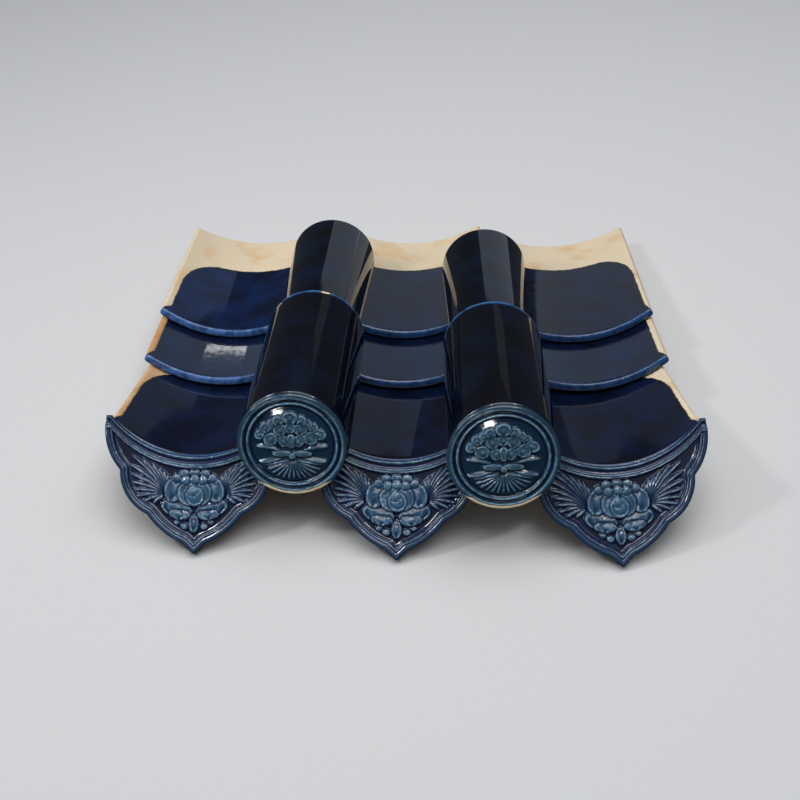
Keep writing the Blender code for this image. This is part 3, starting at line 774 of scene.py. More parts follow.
def face_peony() -> list[Petal | Blade]:
    """The plant on a hanging face: leaf fans, outer petals, crown and cup.

    Returns:
        Its shapes, from the back to the front.
    """
    plant: list[Petal | Blade] = []
    # Each blade of a fan: its lean in degrees and its length in millimetres.
    fan = ((92, 24), (82, 29), (73, 34), (64, 42), (55, 54), (47, 64), (38, 58), (29, 51), (19, 45), (8, 40),
           (-4, 36), (-17, 29), (-33, 20))
    foot_across, foot_up, foot_gap = 34.5, -45.5, 4.0
    for side in (-1.0, 1.0):
        for lean, length in fan:
            sine, cosine = sine_cosine(lean)
            root, tip = [(side * (foot_across + reach * cosine), foot_up + reach * sine)
                         for reach in (foot_gap, length)]
            plant.append(Blade(root, tip, 3.7, 4.6, side * 0.05))
        plant.append(Petal(side * 20.5, -79.0, 4.6, 3.8, 0.0, 3.4))
    outer = [
        Petal(21.5, -62.5, 21.5, 11.8, 0.30, 4.6, 0, 9, 0.16),
        Petal(17.5, -70.0, 15.0, 7.0, 0.12, 5.0, 0, 7, 0.12),
        Petal(25.0, -40.5, 12.8, 16.8, 0.22, 5.2, 0, 5, 0.20),
        Petal(21.5, -26.5, 6.6, 6.2, 0.0, 4.6),
        Petal(12.5, -21.0, 7.0, 6.6, 0.0, 4.8),
        Petal(12.5, -84.0, 5.2, 4.2, 0.4, 3.6),
    ]
    for petal in outer:
        plant += [petal, mirrored(petal)]
    plant += [
        Petal(0.0, -19.5, 7.4, 6.6, 0.0, 5.0),
        Petal(0.0, -81.0, 6.8, 11.5, 0.0, 4.6, 0, 5),
        Petal(6.0, -44.0, 17.0, 17.0, -0.5, 5.8, 0, 0, 0.16),
        Petal(-6.5, -45.0, 15.0, 16.5, 0.5, 6.2, 0, 5, 0.20),
        Petal(-10.0, -29.0, 6.6, 6.2, 0.0, 6.2),
        Petal(10.5, -29.0, 6.6, 6.0, 0.0, 6.2),
        Petal(0.5, -28.0, 6.8, 6.2, 0.0, 6.6),
        Petal(1.0, -48.0, 12.5, 13.0, 0.2, 7.0, 0, 0, 0.22),
        Petal(-1.0, -41.5, 6.6, 6.4, 0.5, 7.6, 3, 0, 0.24),
    ]
    return plant


@dataclass
class DripTile:
    """A drip tile: a pan whose lip ends in a hanging face."""

    face: DripFace = field(default_factory=DripFace)
    trough: PanTile = field(default_factory=lambda: PanTile(
        lip_width=0.207, lip_radius=0.154, lip_slope=math.tan(math.radians(30.0)),
        set_back=0.0046, head_band=0.075, side_margin=0.005, lip_band=(0.0010, 0.0022)))

    def shells(self) -> list[Shell]:
        """The trough and the face."""
        return [self.trough.shell(), self.face.shell()]


@dataclass
class Barrel:
    """A half-round cover wall: an arc, with straight skirts below it if it has any."""

    front_radius: float
    rear_radius: float
    arc: float
    skirt: float
    front: float
    rear: float
    lean: float
    thickness: float
    rounding: float = 0.0036
    side_margin: float = 0.0
    rear_margin: float = -0.01
    # Strength of a clear blue band along the rear rim: thinner glaze, and partly a painted sky reflection on
    # the rounded rim.
    rim_thin_glaze_and_sheen: float = 0.0
    rim_band: tuple[float, float] = (0.0034, 0.0054)
    # The clay stands this share lower in the middle of a chip.
    chip_depth: float = 0.20
    # Each chip in the rear rim: its angle in degrees, its distance from the rear, its half width and length.
    chips: tuple[tuple[float, float, float, float], ...] = ()

    def section(self, radius: Array, way: Array) -> tuple[Array, Array]:
        """Points and normals round the outer side, at places from -1 at one edge to 1 at the other.

        The way round is the arc's length plus two skirts; the arc is a circle and the skirts hang straight.

        Args:
            radius: Radius of the arc at every row.
            way: Places round the section.

        Returns:
            Points and unit normals as X and Z in the last axis.
        """
        half_arc = math.radians(self.arc) / 2
        total = radius * half_arc + self.skirt
        run = way * total
        angle = np.clip(run / radius, -half_arc, half_arc)
        below = np.clip(np.abs(run) - radius * half_arc, 0.0, None)
        normal = np.stack([np.sin(angle), np.cos(angle)], axis=-1)
        tangent = np.stack([np.cos(angle) * np.sign(way), -np.sin(angle) * np.sign(way)], axis=-1)
        return normal * radius[..., None] + tangent * below[..., None], normal

    def shell(self) -> Shell:
        """The cover's wall: the section is carried from the front to the rear.

        Returns:
            The closed shell.
        """
        length = self.rear - self.front
        girth = math.radians(self.arc) * self.rear_radius + 2 * self.skirt
        lengths = edge_lines(length, self.rounding, edge=6, inner=44)[:, None]
        widths = edge_lines(girth, self.rounding, edge=5, inner=72)[None, :]
        share = lengths / length
        radius = (self.front_radius + (self.rear_radius - self.front_radius) * share) * np.ones_like(widths)
        way = (widths / girth * 2 - 1) * np.ones_like(lengths)
        flat, normal = self.section(radius, way)
        along = self.front + lengths + flat[..., 1] * math.tan(math.radians(self.lean)) * (1 - share)
        upper = np.stack([flat[..., 0], along, flat[..., 1]], axis=-1)
        normals = np.stack([normal[..., 0], np.zeros_like(way), normal[..., 1]], axis=-1)
        from_side = np.minimum(widths, girth - widths)
        from_end = np.minimum(lengths, length - lengths)
        fullness = end_fullness(from_side, self.rounding) * end_fullness(from_end, self.rounding)
        reach = np.minimum(from_side - self.side_margin, length - lengths - self.rear_margin)
        for angle, back, half_width, half_length in self.chips:
            beside = (way * girth / 2 - math.radians(angle) * self.rear_radius) / half_width
            broken = np.hypot(beside, (length - lengths - back) / half_length)
            reach = np.minimum(reach, (broken - 1.0) * half_length)
            fullness = fullness * (1.0 - self.chip_depth * (1.0 - smooth_step(broken, 0.5, 1.15)))
        wrapped = np.minimum(self.rounding * 1.1 - from_end, 0.002)
        under = np.minimum(reach, wrapped)
        # A clear blue band along the rear rim: thinner glaze, and partly a painted sky reflection.
        thin = self.rim_thin_glaze_and_sheen * (1.0 - smooth_step(length - lengths, *self.rim_band))
        return wall_shell(upper, normals, self.thickness, fullness, reach, under, thin)


@dataclass
class EndDisc(Plate):
    """The round end of an eaves cover: rim, groove, ring and a sunk field with a pressed peony."""

    lean: float = 10.0
    thickness: float = 0.013
    depth: float = 0.0040
    rounding: float = 0.0030
    crest_height: float = 0.0008
    radius: float = 0.065
    rim: float = 0.0070
    ring: float = 0.0528
    ring_half: float = 0.0030
    field_radius: float = 0.0490
    field_dome: float = 0.0020
    # The lower part of the edge was wiped bare over this width.
    bare_edge: float = 0.0042

    def shell(self) -> Shell:
        """The disc as a closed shell on a polar grid: its front, its edge and its back.

        Returns:
            The closed shell.
        """
        inner_rows = 100
        turns = np.linspace(0.0, 2 * math.pi, 361)[None, :]
        inner = np.linspace(0.0, self.radius - self.rounding, inner_rows)
        outer = self.radius - self.rounding * (1 - np.sin(np.linspace(0.1, 1.0, 7) * math.pi / 2))
        radii = np.concatenate([inner, outer])[:, None] * np.ones_like(turns)
        x, y = radii * np.sin(turns), radii * np.cos(turns)
        kept = np.r_[0:inner_rows:33, inner_rows:len(radii)]
        lowness = smooth_step(-np.cos(turns) * np.ones_like(radii), 0.30, 0.85)
        full, bare = 0.02, -0.004
        reach = self.radius - self.bare_edge * lowness - radii + full * (1.0 - lowness)
        return self.closed(x, y, self.height(x, y, radii), self.radius - radii, kept, reach,
                           np.full(x.shape, bare))

    def height(self, x: Array, y: Array, radii: Array) -> Array:
        """Height of the front over its own plane: the sunk domed field, the ring and the peony.

        Args:
            x: Places across the disc.
            y: Places up the disc.
            radii: Distance from the disc's middle.

        Returns:
            The height in metres, below 0 in the sunk field.
        """
        rim_in = self.radius - self.rim
        sunk_field = self.depth * (1 - smooth_step(radii, rim_in - 0.0010, rim_in + 0.0012))
        plant = np.zeros_like(x)
        for shape in disc_peony():
            plant = shape.press(plant, x, y)
        plant = plant * (1 - smooth_step(radii, self.field_radius - 0.004, self.field_radius - 0.001))
        ring = 0.0034 * bump(radii, self.ring, self.ring_half)
        dome = self.field_dome * np.clip(1.0 - np.square(radii / self.field_radius), 0.0, 1.0)
        return softened(ring + dome + plant - sunk_field, 1)


def disc_peony() -> list[Petal | Blade]:
    """The plant on an end disc: leaves, rays, two rows of lobes and the bloom.

    Returns:
        Its shapes, from the back to the front.
    """
    plant: list[Petal | Blade] = []
    for side in (-1.0, 1.0):
        plant.append(Blade((side * 13.0, -6.5), (side * 42.5, -2.0), 4.6, 4.0, side * 0.06))
        plant.append(Blade((side * 12.0, -16.0), (side * 42.0, -22.5), 4.6, 3.8, -side * 0.06))
    rays, spread, hub, hub_gap = 13, 1.30, -18.0, 4.0
    for ray in range(rays):
        turn = spread * (2 * ray / (rays - 1) - 1)
        end = 30.5 + 6.0 * math.sin(abs(turn))
        root = (hub_gap * math.sin(turn), hub - hub_gap * math.cos(turn))
        tip = (end * math.sin(turn), hub - end * math.cos(turn) * 0.88)
        plant.append(Blade(root, tip, 2.6, 4.0))
    # Each lobe: its place across and up, its half length and its half width in millimetres.
    lobes = (
        (-37.0, 14.0, 7.0, 6.2), (-30.0, 22.5, 7.6, 6.6), (-22.0, 27.0, 6.4, 6.0), (-14.5, 31.0, 7.2, 6.6),
        (34.0, 14.0, 8.2, 7.0), (26.5, 22.5, 7.0, 6.2), (20.0, 27.0, 6.6, 6.0), (13.0, 31.5, 7.4, 6.6),
        (0.0, 35.0, 10.4, 8.0), (-24.0, 8.5, 9.8, 8.4), (22.5, 9.5, 9.8, 8.6), (-12.5, 20.0, 9.0, 7.8),
        (11.5, 20.5, 9.0, 7.8), (-0.5, 22.5, 7.8, 7.0),
    )
    for across, up, half_length, half_width in lobes:
        lean = -across * 0.018
        lift = 4.2 if up > 14.0 else 5.0
        plant.append(Petal(across, up, half_length, half_width, lean, lift, 0, 5, 0.14))
    plant += [
        Petal(-12.0, -10.5, 12.5, 4.2, 0.06, 4.4),
        Petal(12.0, -10.5, 12.5, 4.2, -0.06, 4.4),
        Petal(-9.0, 6.0, 7.0, 8.0, 0.3, 5.0, 0, 5),
        Petal(9.0, 6.0, 7.0, 8.0, -0.3, 5.0, 0, 5),
        Petal(0.0, 6.0, 6.2, 9.8, 0.0, 5.8, 0, 9),
        Petal(0.0, -13.5, 4.4, 4.0, 0.0, 5.4),
    ]
    return plant


@dataclass
class EavesCover:
    """An eaves cover: a half-round barrel with skirts, closed in front by its end disc."""

    chips: tuple[tuple[float, float, float, float], ...] = ()
    disc: EndDisc = field(default_factory=EndDisc)

    def shells(self) -> list[Shell]:
        """The barrel and the disc.

        Returns:
            Both as closed shells.
        """
        # The rear rim gets a clear blue band, partly a painted sky reflection.
        barrel = Barrel(front_radius=0.0648, rear_radius=COVER_RADIUS, arc=180.0, skirt=0.0215, front=0.0035,
                        rear=COVER_LENGTH, lean=10.0, thickness=0.011, side_margin=0.002, rim_thin_glaze_and_sheen=1.0,
                        chips=self.chips)
        return [barrel.shell(), self.disc.shell()]


@dataclass
class UpperCover:
    """An upper cover: a plain barrel with skirts that flares from its tucked lip to its head."""

    barrel: Barrel = field(default_factory=lambda: Barrel(
        front_radius=UPPER_LIP_RADIUS, rear_radius=UPPER_HEAD_RADIUS, arc=180.0, skirt=0.018, front=0.0,
        rear=UPPER_LENGTH, lean=0.0, thickness=0.0105, side_margin=0.014))

    def shells(self) -> list[Shell]:
        """The barrel alone."""
        return [self.barrel.shell()]


def linear(code: str) -> tuple[float, float, float, float]:
    """Turn an sRGB hex code into linear colour by the sRGB curve.

    Args:
        code: The hash sign and six digits.

    Returns:
        Linear red, green, blue and alpha.
    """
    channels = [int(code[place:place + 2], 16) / 255 for place in (1, 3, 5)]
    values = [value / 12.92 if value <= 0.04045 else ((value + 0.055) / 1.055) ** 2.4 for value in channels]
    return (values[0], values[1], values[2], 1.0)


def add_node(tree: bpy.types.NodeTree, kind: str, settings: dict | None = None, inputs: dict | None = None,
             output: str | int = 0) -> bpy.types.NodeSocket:
    """Add a node with its settings, and link or set its inputs.

    Args:
        tree: The node tree that takes the node.
        kind: The node's type name.
        settings: Properties of the node.
        inputs: Values or sockets by input name or number.
        output: Name or number of the output that is wanted.

    Returns:
        The wanted output.
    """
    node = tree.nodes.new(kind)
    for label, value in (settings or {}).items():
        setattr(node, label, value)
    for label, value in (inputs or {}).items():
        if isinstance(value, bpy.types.NodeSocket):
            tree.links.new(value, node.inputs[label])
        else:
            node.inputs[label].default_value = value
    return node.outputs[output]


NOISE = "ShaderNodeTexNoise"
RANGE = "ShaderNodeMapRange"
MIX = "ShaderNodeMix"
MATH = "ShaderNodeMath"
BUMP = "ShaderNodeBump"
SMOOTH = {"interpolation_type": "SMOOTHSTEP"}
# A colour mix has its factor at 0, its colours at 6 and 7 and its result at 2; a float mix mixes 2 and 3.
COLOURS = {"data_type": "RGBA"}
FLOATS = {"data_type": "FLOAT"}


@dataclass(frozen=True)
class NavyGlaze:
    """Cobalt and iron glaze poured over pressed buff clay and fired to a glassy coat.

    Where it lies thick it is near black navy. Over pressed edges it is drawn thin, so the pale clay shows
    through it as slate teal, and at lips it breaks to a clear blue. The slate teal and the pale crests are
    partly a painted reflection of the pale floor and sky and a painted highlight, and the clear blue partly
    a painted sky reflection. The last millimetre beside bare clay is olive. The bare clay is sandy, warm
    and dull. Sizes of the patterns are in millimetres.
    """

    name: str
    deep: str = "#060a18"
    body: str = "#09132c"
    recess: str = "#0b1634"
    # Slate blue raised relief: thinner glaze, and partly a painted reflection of the pale floor and sky.
    raised: str = "#24445c"
    # Clear blue at lips and rims: thinner glaze, and partly a painted sky reflection.
    thin: str = "#2f5c96"
    # Pale crests on pressed relief: thinner glaze over the clay, and partly a painted highlight and sky
    # reflection.
    crest: str = "#86a0a8"
    olive: str = "#4b4a2c"
    clay: str = "#c6b79c"
    clay_warm: str = "#bf9f76"
    roughness: float = 0.035
    clay_roughness: float = 0.88
    edge_show: float = 0.85
    crest_show: float = 0.65
    # The coat runs and pools over a hand's breadth before it sets.
    pool_size: float = 45.0
    # A poured coat is uneven over about a finger's width.
    mottle_size: float = 9.0
    # The coat gathers in small lumps over pressed clay.
    lump_size: float = 3.2
    # Dust and pinholes are about 0.3 mm, drawn coarser so that they show.
    speck_size: float = 1.6
    # Grit in the clay is about 0.4 mm, drawn coarser so that it shows.
    grit_size: float = 1.1

    def make(self) -> bpy.types.Material:
        """Build the material from the piece's own reach, thinness and relief.

        Returns:
            The material.
        """
        material = bpy.data.materials.new(self.name)
        material.use_nodes = True
        add = partial(add_node, material.node_tree)
        place = add("ShaderNodeTexCoord", output="Object")
        reach, thin, relief = [add("ShaderNodeAttribute", {"attribute_name": label}, output="Fac")
                               for label in ("reach", "thin", "relief")]
        sizes = ((self.pool_size, 4.0), (self.mottle_size, 3.0), (self.lump_size, 2.0),
                 (self.speck_size, 2.0), (self.grit_size, 4.0))
        pools, mottle, lumps, specks, grit = [
            add(NOISE, {}, {"Vector": place, "Scale": 1.0 / (size * MM), "Detail": detail})
            for size, detail in sizes]

        # The glaze: pools on flat clay, dark hollows and pale crests on pressed clay, clear blue at lips.
        # The slate raised parts are partly a painted reflection of the pale floor and sky, the pale crests
        # partly a painted highlight, and the clear blue at lips partly a painted sky reflection.
        pooled = add(RANGE, SMOOTH, {"Value": pools, "From Min": 0.35, "From Max": 0.68})
        flat = add(MIX, COLOURS, {0: pooled, 6: linear(self.deep), 7: linear(self.body)}, 2)
        height = add(RANGE, SMOOTH, {"Value": relief, "From Min": 0.25, "From Max": 0.95})
        pressed = add(MIX, COLOURS, {0: height, 6: linear(self.recess), 7: linear(self.raised)}, 2)
        is_pressed = add(RANGE, SMOOTH, {"Value": relief, "From Min": 0.002, "From Max": 0.02})
        base = add(MIX, COLOURS, {0: is_pressed, 6: flat, 7: pressed}, 2)
        uneven = add(RANGE, SMOOTH, {"Value": lumps, "From Min": 0.30, "From Max": 0.60})
        crest_colour = add(MIX, COLOURS, {0: uneven, 6: linear(self.thin), 7: linear(self.crest)}, 2)
        edge_colour = add(MIX, COLOURS, {0: is_pressed, 6: linear(self.thin), 7: crest_colour}, 2)
        lip_share = add(RANGE, SMOOTH, {"Value": mottle, "From Min": 0.30, "From Max": 0.66,
                                        "To Min": 0.25, "To Max": self.edge_show})
        crest_share = add(RANGE, SMOOTH, {"Value": mottle, "From Min": 0.30, "From Max": 0.62,
                                          "To Min": 0.20, "To Max": self.crest_show})
        strength = add(MIX, FLOATS, {0: is_pressed, 2: lip_share, 3: crest_share})
        share = add(MATH, {"operation": "MULTIPLY"}, {0: thin, 1: strength})
        glaze = add(MIX, COLOURS, {0: share, 6: base, 7: edge_colour}, 2)

        # The clay: warmer in clouds, with dull tan grit.
        warmth = add(RANGE, SMOOTH, {"Value": pools, "From Min": 0.48, "From Max": 0.80})
        clay = add(MIX, COLOURS, {0: warmth, 6: linear(self.clay), 7: linear(self.clay_warm)}, 2)
        gritty = add(RANGE, SMOOTH, {"Value": grit, "From Min": 0.55, "From Max": 0.75})
        sandy = add(MIX, COLOURS, {0: gritty, 6: clay, 7: linear(self.clay_warm)}, 2)

        # The edge of the coat wanders over the clay by about a millimetre, with an olive margin.
        wandering = 0.0026
        wander = add(MATH, {"operation": "MULTIPLY_ADD"}, {0: mottle, 1: wandering, 2: -wandering / 2})
        line = add(MATH, {"operation": "ADD"}, {0: reach, 1: wander})
        clay_edge = add(RANGE, SMOOTH, {"Value": line, "From Min": -0.0005, "From Max": 0.0001})
        glaze_edge = add(RANGE, SMOOTH, {"Value": line, "From Min": 0.0001, "From Max": 0.0010})
        margin = add(MIX, COLOURS, {0: clay_edge, 6: sandy, 7: linear(self.olive)}, 2)
        colour = add(MIX, COLOURS, {0: glaze_edge, 6: margin, 7: glaze}, 2)

        # The shine: a glassy coat, lumpy over pressed clay and lips, and rough sand where the clay is bare.
        coat = add(RANGE, {}, {"Value": specks, "To Min": self.roughness, "To Max": self.roughness + 0.03})
        rough = add(MIX, FLOATS, {0: clay_edge, 2: self.clay_roughness, 3: coat})
        is_worked = add(MATH, {"operation": "MAXIMUM"}, {0: height, 1: thin})
        lumpy = add(MATH, {"operation": "MULTIPLY"}, {0: lumps, 1: is_worked})
        is_bare = add(MATH, {"operation": "SUBTRACT"}, {0: 1.0, 1: clay_edge})
        sand = add(MATH, {"operation": "MULTIPLY"}, {0: grit, 1: is_bare})
        swell = add(BUMP, {}, {"Height": mottle, "Strength": 0.10, "Distance": 0.0004})
        lumped = add(BUMP, {}, {"Height": lumpy, "Strength": 0.60, "Distance": 0.0010, "Normal": swell})
        fine = add(BUMP, {}, {"Height": sand, "Strength": 0.5, "Distance": 0.0005, "Normal": lumped})

        shader = material.node_tree.nodes["Principled BSDF"]
        shader.inputs["IOR"].default_value = 1.52
        for label, socket in (("Base Color", colour), ("Roughness", rough), ("Normal", fine)):
            material.node_tree.links.new(socket, shader.inputs[label])
        return material


@dataclass(frozen=True)
class View:
    """The camera at the photograph's viewing angle: above the front, a little right of the middle."""

    place: tuple[float, float, float] = (0.0725, -1.2139, 1.0326)
    down: float = 41.25
    aside: float = -4.14
    roll: float = -3.13
    lens: float = 50.62

    def set_up(self) -> None:
        """Make the camera: rolled about its own sight line, tipped up from straight down, turned aside."""
        data = bpy.data.cameras.new("camera")
        data.lens = self.lens
        data.sensor_width = 36.0
        camera = bpy.data.objects.new("camera", data)
        bpy.context.scene.collection.objects.link(camera)
        camera.location = self.place
        aside = Matrix.Rotation(math.radians(-self.aside), 3, "Z")
        tip = Matrix.Rotation(math.radians(90.0 - self.down), 3, "X")
        roll = Matrix.Rotation(math.radians(self.roll), 3, "Z")
        camera.rotation_euler = (aside @ tip @ roll).to_euler()
        bpy.context.scene.camera = camera


@dataclass(frozen=True)
class SoftBox:
    """A rectangular studio light that looks at a point."""

    name: str
    place: tuple[float, float, float]
    size: tuple[float, float]
    power: float
    target: tuple[float, float, float] = (0.0, 0.0, 0.05)
    colour: str = "#ffffff"
    lights: tuple[str, ...] = ()
    roll: float = 0.0

    def hang(self) -> None:
        """Hang the light, and let it reach only the pieces whose names start as it says, if it says any."""
        data = bpy.data.lights.new(self.name, "AREA")
        data.shape = "RECTANGLE"
        data.size, data.size_y = self.size
        data.energy = self.power
        data.color = linear(self.colour)[:3]
        light = bpy.data.objects.new(self.name, data)
        bpy.context.scene.collection.objects.link(light)
        light.location = self.place
        aim = (Vector(self.target) - Vector(self.place)).to_track_quat("-Z", "Y").to_matrix()
        light.rotation_euler = (aim @ Matrix.Rotation(math.radians(self.roll), 3, "Z")).to_euler()
        if self.lights:
            reached = bpy.data.collections.new(self.name)
            for piece in bpy.context.scene.objects:
                if piece.name.startswith(self.lights):
                    reached.objects.link(piece)
            light.light_linking.receiver_collection = reached


def gleam_lights() -> list[SoftBox]:
    """Short lights along an arc behind the set, which the left middle pan mirrors as one straight gleam.

    Returns:
        The lights.
    """
    centre, radius, back, width, power = (-0.189, -0.410), 1.848, 3.0, 0.012, 0.080
    turns = np.linspace(-6.0, -29.8, 6)
    length = radius * math.radians(abs(turns[1] - turns[0]))
    lights = []
    for turn in turns:
        sine, cosine = sine_cosine(turn)
        place = (centre[0] + radius * sine, back, centre[1] + radius * cosine)
        lights.append(SoftBox(f"gleam {turn:.0f}", place, (length, width), power,
                              lights=("middle_pan_tile_left",), roll=float(turn)))
    return lights


def set_light() -> None:
    """Light a studio that is dark at the horizon and pale overhead.

    A large top light and a small key light fall on the whole set, the smooth glaze mirrors the panels
    behind it, and a strip and sparks in front pick out the pressed relief.
    """
    world = bpy.data.worlds.new("studio")
    bpy.context.scene.world = world
    world.use_nodes = True
    add = partial(add_node, world.node_tree)
    direction = add("ShaderNodeTexCoord", output="Generated")
    height = add("ShaderNodeSeparateXYZ", inputs={0: direction}, output="Z")
    rise = add(RANGE, SMOOTH, {"Value": height, "From Min": 0.35, "From Max": 0.95,
                               "To Min": 0.06, "To Max": 0.62})
    background = world.node_tree.nodes["Background"]
    background.inputs["Color"].default_value = linear("#dfe6f0")
    world.node_tree.links.new(rise, background.inputs["Strength"])
    sky = "#d3e0f4"
    pressed = ("drip", "eaves_cover")
    boxes = (
        SoftBox("top light", (0.3, -0.1, 2.6), (2.8, 2.0), 54.0),
        SoftBox("key light", (-1.5, -0.35, 1.9), (0.30, 0.30), 11.0),
        SoftBox("left spark", (-0.76, -3.0, 0.16), (0.13, 0.10), 1.6, lights=("eaves_cover",)),
        SoftBox("right spark", (0.16, -3.0, 0.27), (0.13, 0.10), 1.6, lights=("eaves_cover",)),
        SoftBox("left strip", (-1.9, -0.7, 1.7), (0.30, 1.7), 28.0,
                lights=("eaves_cover", "drip", "top_pan", "middle_pan")),
        SoftBox("high spark", (-0.4, -0.3, 2.3), (0.12, 0.12), 3.0, lights=pressed),
        SoftBox("right high spark", (0.8, -0.8, 2.1), (0.12, 0.12), 3.0, lights=pressed),
        SoftBox("side spark", (-1.8, -1.1, 1.1), (0.12, 0.12), 3.0, lights=pressed),
        SoftBox("left top pan panel", (0.95, 3.0, 1.16), (3.0, 0.60), 1.7, colour="#b4cdf0",
                lights=("top_pan_tile_left",)),
        SoftBox("top pan panel", (0.3, 3.0, 1.16), (4.3, 0.70), 4.0, colour=sky,
                lights=("top_pan_tile_middle", "top_pan_tile_right")),
        SoftBox("middle pan panel", (-0.2, 3.0, 1.25), (3.4, 0.80), 5.0, colour="#b4cdf0",
                lights=("middle_pan",)),
        SoftBox("drip panel", (0.95, 3.0, 0.60), (3.0, 0.60), 0.9, colour=sky,
                lights=("drip_tile_left", "drip_tile_middle")),
        SoftBox("right drip panel", (0.0, 3.0, 0.60), (3.4, 0.60), 0.7, colour=sky,
                lights=("drip_tile_right",)),
        SoftBox("cover panel", (1.05, 3.0, 0.80), (2.7, 1.40), 5.4, colour=sky, lights=("upper_cover",)),
        SoftBox("low cover panel", (0.08, 0.52, 0.05), (0.50, 0.14), 0.07,
                lights=("upper_cover_tile_left",)),
        SoftBox("eaves panel", (0.50, 3.0, 1.35), (0.55, 0.40), 0.06, lights=("eaves_cover",)),
    )
    for box in (*boxes, *gleam_lights()):
        box.hang()


def add_stage(name: str, points: Array, faces: Array, looks: dict) -> bpy.types.Object:
    """Add a pale part of the stage, which the glaze doesn't mirror.

    Args:
        name: The part's name.
        points: Its mesh's points.
        faces: Corner numbers of its faces.
        looks: Values of its shader's inputs by name.

    Returns:
        The object.
    """
    mesh = bpy.data.meshes.new(name)
    mesh.from_pydata(points, [], faces)
    part = bpy.data.objects.new(name, mesh)
    bpy.context.scene.collection.objects.link(part)
    material = bpy.data.materials.new(f"pale {name}")
    material.use_nodes = True
    shader = material.node_tree.nodes["Principled BSDF"]
    for label, value in looks.items():
        shader.inputs[label].default_value = value
    mesh.materials.append(material)
    part.visible_glossy = False
    return part


def set_floor() -> None:
    """Lay the plain pale floor."""
    reach = 6.0
    corners = np.array([(-1.0, -1.0, 0.0), (1.0, -1.0, 0.0), (1.0, 1.0, 0.0), (-1.0, 1.0, 0.0)])
    add_stage("floor", corners * reach, np.arange(4)[None],
              {"Base Color": linear("#cfcfcf"), "Roughness": 0.9})


def set_backdrop() -> None:
    """Stand a plain pale ring round the floor; only the camera sees it, so the glaze mirrors the studio."""
    reach, height, sides = 5.8, 4.0, 64
    turns = np.linspace(0.0, 2 * math.pi, sides, endpoint=False)
    ring = np.stack([reach * np.sin(turns), reach * np.cos(turns), np.zeros(sides)], axis=-1)
    points = np.concatenate([ring, ring + np.array([0.0, 0.0, height])])
    here = np.arange(sides)
    following = np.roll(here, -1)
    faces = np.stack([here, following, following + sides, here + sides], axis=-1)
    looks = {"Base Color": linear("#000000"), "Emission Color": linear("#b4b7bb"), "Emission Strength": 1.0}
    backdrop = add_stage("backdrop", points, faces, looks)
    backdrop.visible_diffuse = False
    backdrop.visible_transmission = False
    backdrop.visible_shadow = False


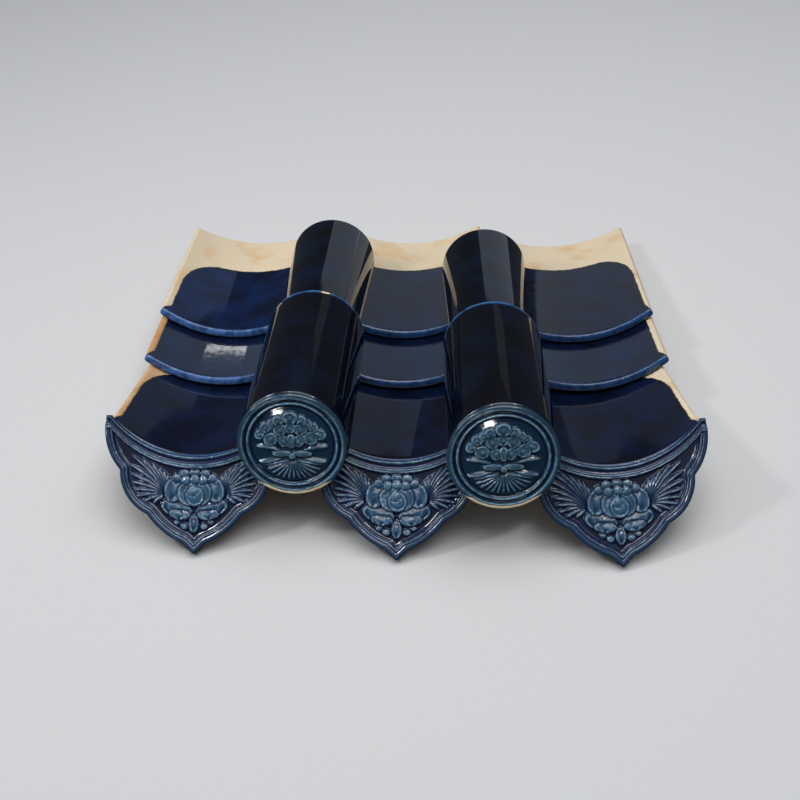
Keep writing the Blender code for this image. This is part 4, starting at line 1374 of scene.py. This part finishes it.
def main() -> None:
    """Build the thirteen tiles, dress them and set the stage."""
    logging.basicConfig(level=logging.INFO, format="%(message)s")
    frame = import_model()
    bpy.context.view_layer.update()
    places = lay_set(frame["nodes"])
    bpy.context.scene.view_settings.view_transform = "Standard"
    # One kind of glaze throughout: a glassy coat that mirrors the studio in clean edges.
    glaze = NavyGlaze("navy glaze on pan tiles", edge_show=0.62)
    finishes = {
        "pan": glaze.make(),
        # Poured thinner, so it looks a clearer blue.
        # A clearer blue throughout and a brighter lip band: painted reflection of the bluish sky over the
        # left column.
        "blue pan": replace(glaze, name="blue glaze on left top pan", deep="#061024", body="#091b3e",
                            thin="#476fab", edge_show=0.85).make(),
        # Its clay margin is a darker orange tan, painted shade where the margin lies in shadow; its lip band
        # is brighter, partly a painted sky reflection.
        "shaded clay pan": replace(glaze, name="navy glaze on left middle pan", clay="#ad8052", clay_warm="#9c6a3c",
                           thin="#476fab", edge_show=0.85).make(),
        # Pressed faces: dark hollows, slate blue raised parts and pale crests; the slate blue is partly a
        # painted reflection of the pale floor and sky, and the pale crests partly a painted highlight.
        "drip": NavyGlaze("navy glaze on drip tiles").make(),
        # The left drip tile's clay is darker and more orange: painted shade on the left column.
        "shaded clay drip": NavyGlaze("navy glaze on left drip tile", clay="#b29069", clay_warm="#a1774c").make(),
        # Covers are almost black, darker than the pans: painted shade for the dark studio they mirror. The
        # end discs are slate teal, partly a painted reflection of the pale floor and sky, and the rear rims
        # a clear blue, partly a painted sky reflection.
        "eaves": NavyGlaze("black navy glaze on eaves covers", deep="#05070c", body="#070d1c",
                           recess="#10283c", raised="#2b4656", crest="#7f9a9e", thin="#3f72b0").make(),
        "upper": NavyGlaze("black navy glaze on upper covers", deep="#05080f", body="#091226").make(),
    }
    drip = DripTile().shells()
    pan = [PanTile(head_band=0.075).shell()]
    middle = [PanTile(head_band=0.100, side_margin=0.0015, corner=(0.020, 0.030)).shell()]
    upper = UpperCover().shells()
    top_left = [PanTile(head_band=0.105, side_margin=0.0090).shell()]
    top_right = [PanTile(head_band=0.087, side_margin=0.0045).shell()]
    chipped = EavesCover(chips=((16.0, 0.0046, 0.0075, 0.0030), (-43.0, 0.0030, 0.0036, 0.0030))).shells()
    tiles = (
        ("drip_tile_left", drip, "shaded clay drip"),
        ("drip_tile_middle", drip, "drip"),
        ("drip_tile_right", drip, "drip"),
        ("middle_pan_tile_left", pan, "shaded clay pan"),
        ("middle_pan_tile_middle", middle, "pan"),
        ("middle_pan_tile_right", pan, "pan"),
        ("top_pan_tile_left", top_left, "blue pan"),
        ("top_pan_tile_middle", middle, "pan"),
        ("top_pan_tile_right", top_right, "pan"),
        ("eaves_cover_tile_left", chipped, "eaves"),
        ("eaves_cover_tile_right", EavesCover().shells(), "eaves"),
        ("upper_cover_tile_left", upper, "upper"),
        ("upper_cover_tile_right", upper, "upper"),
    )
    for node, shells, finish in tiles:
        add_tile(node, shells, places[node], finishes[finish])
    set_floor()
    set_backdrop()
    set_light()
    View().set_up()


def add_tile(node: str, shells: list[Shell], place: Place, material: bpy.types.Material) -> None:
    """Build one tile in place of its node and dress it.

    Args:
        node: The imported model's node that the tile stands for.
        shells: The tile's closed shells.
        place: Where it lies.
        material: Its finish.
    """
    piece = build_piece(f"{node}_glazed", shells, place)
    piece.data.materials.append(material)
    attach(piece, "root")
    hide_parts(node)
    LOG.info("%s: %d faces", piece.name, len(piece.data.polygons))


if __name__ == "__main__":
    main()
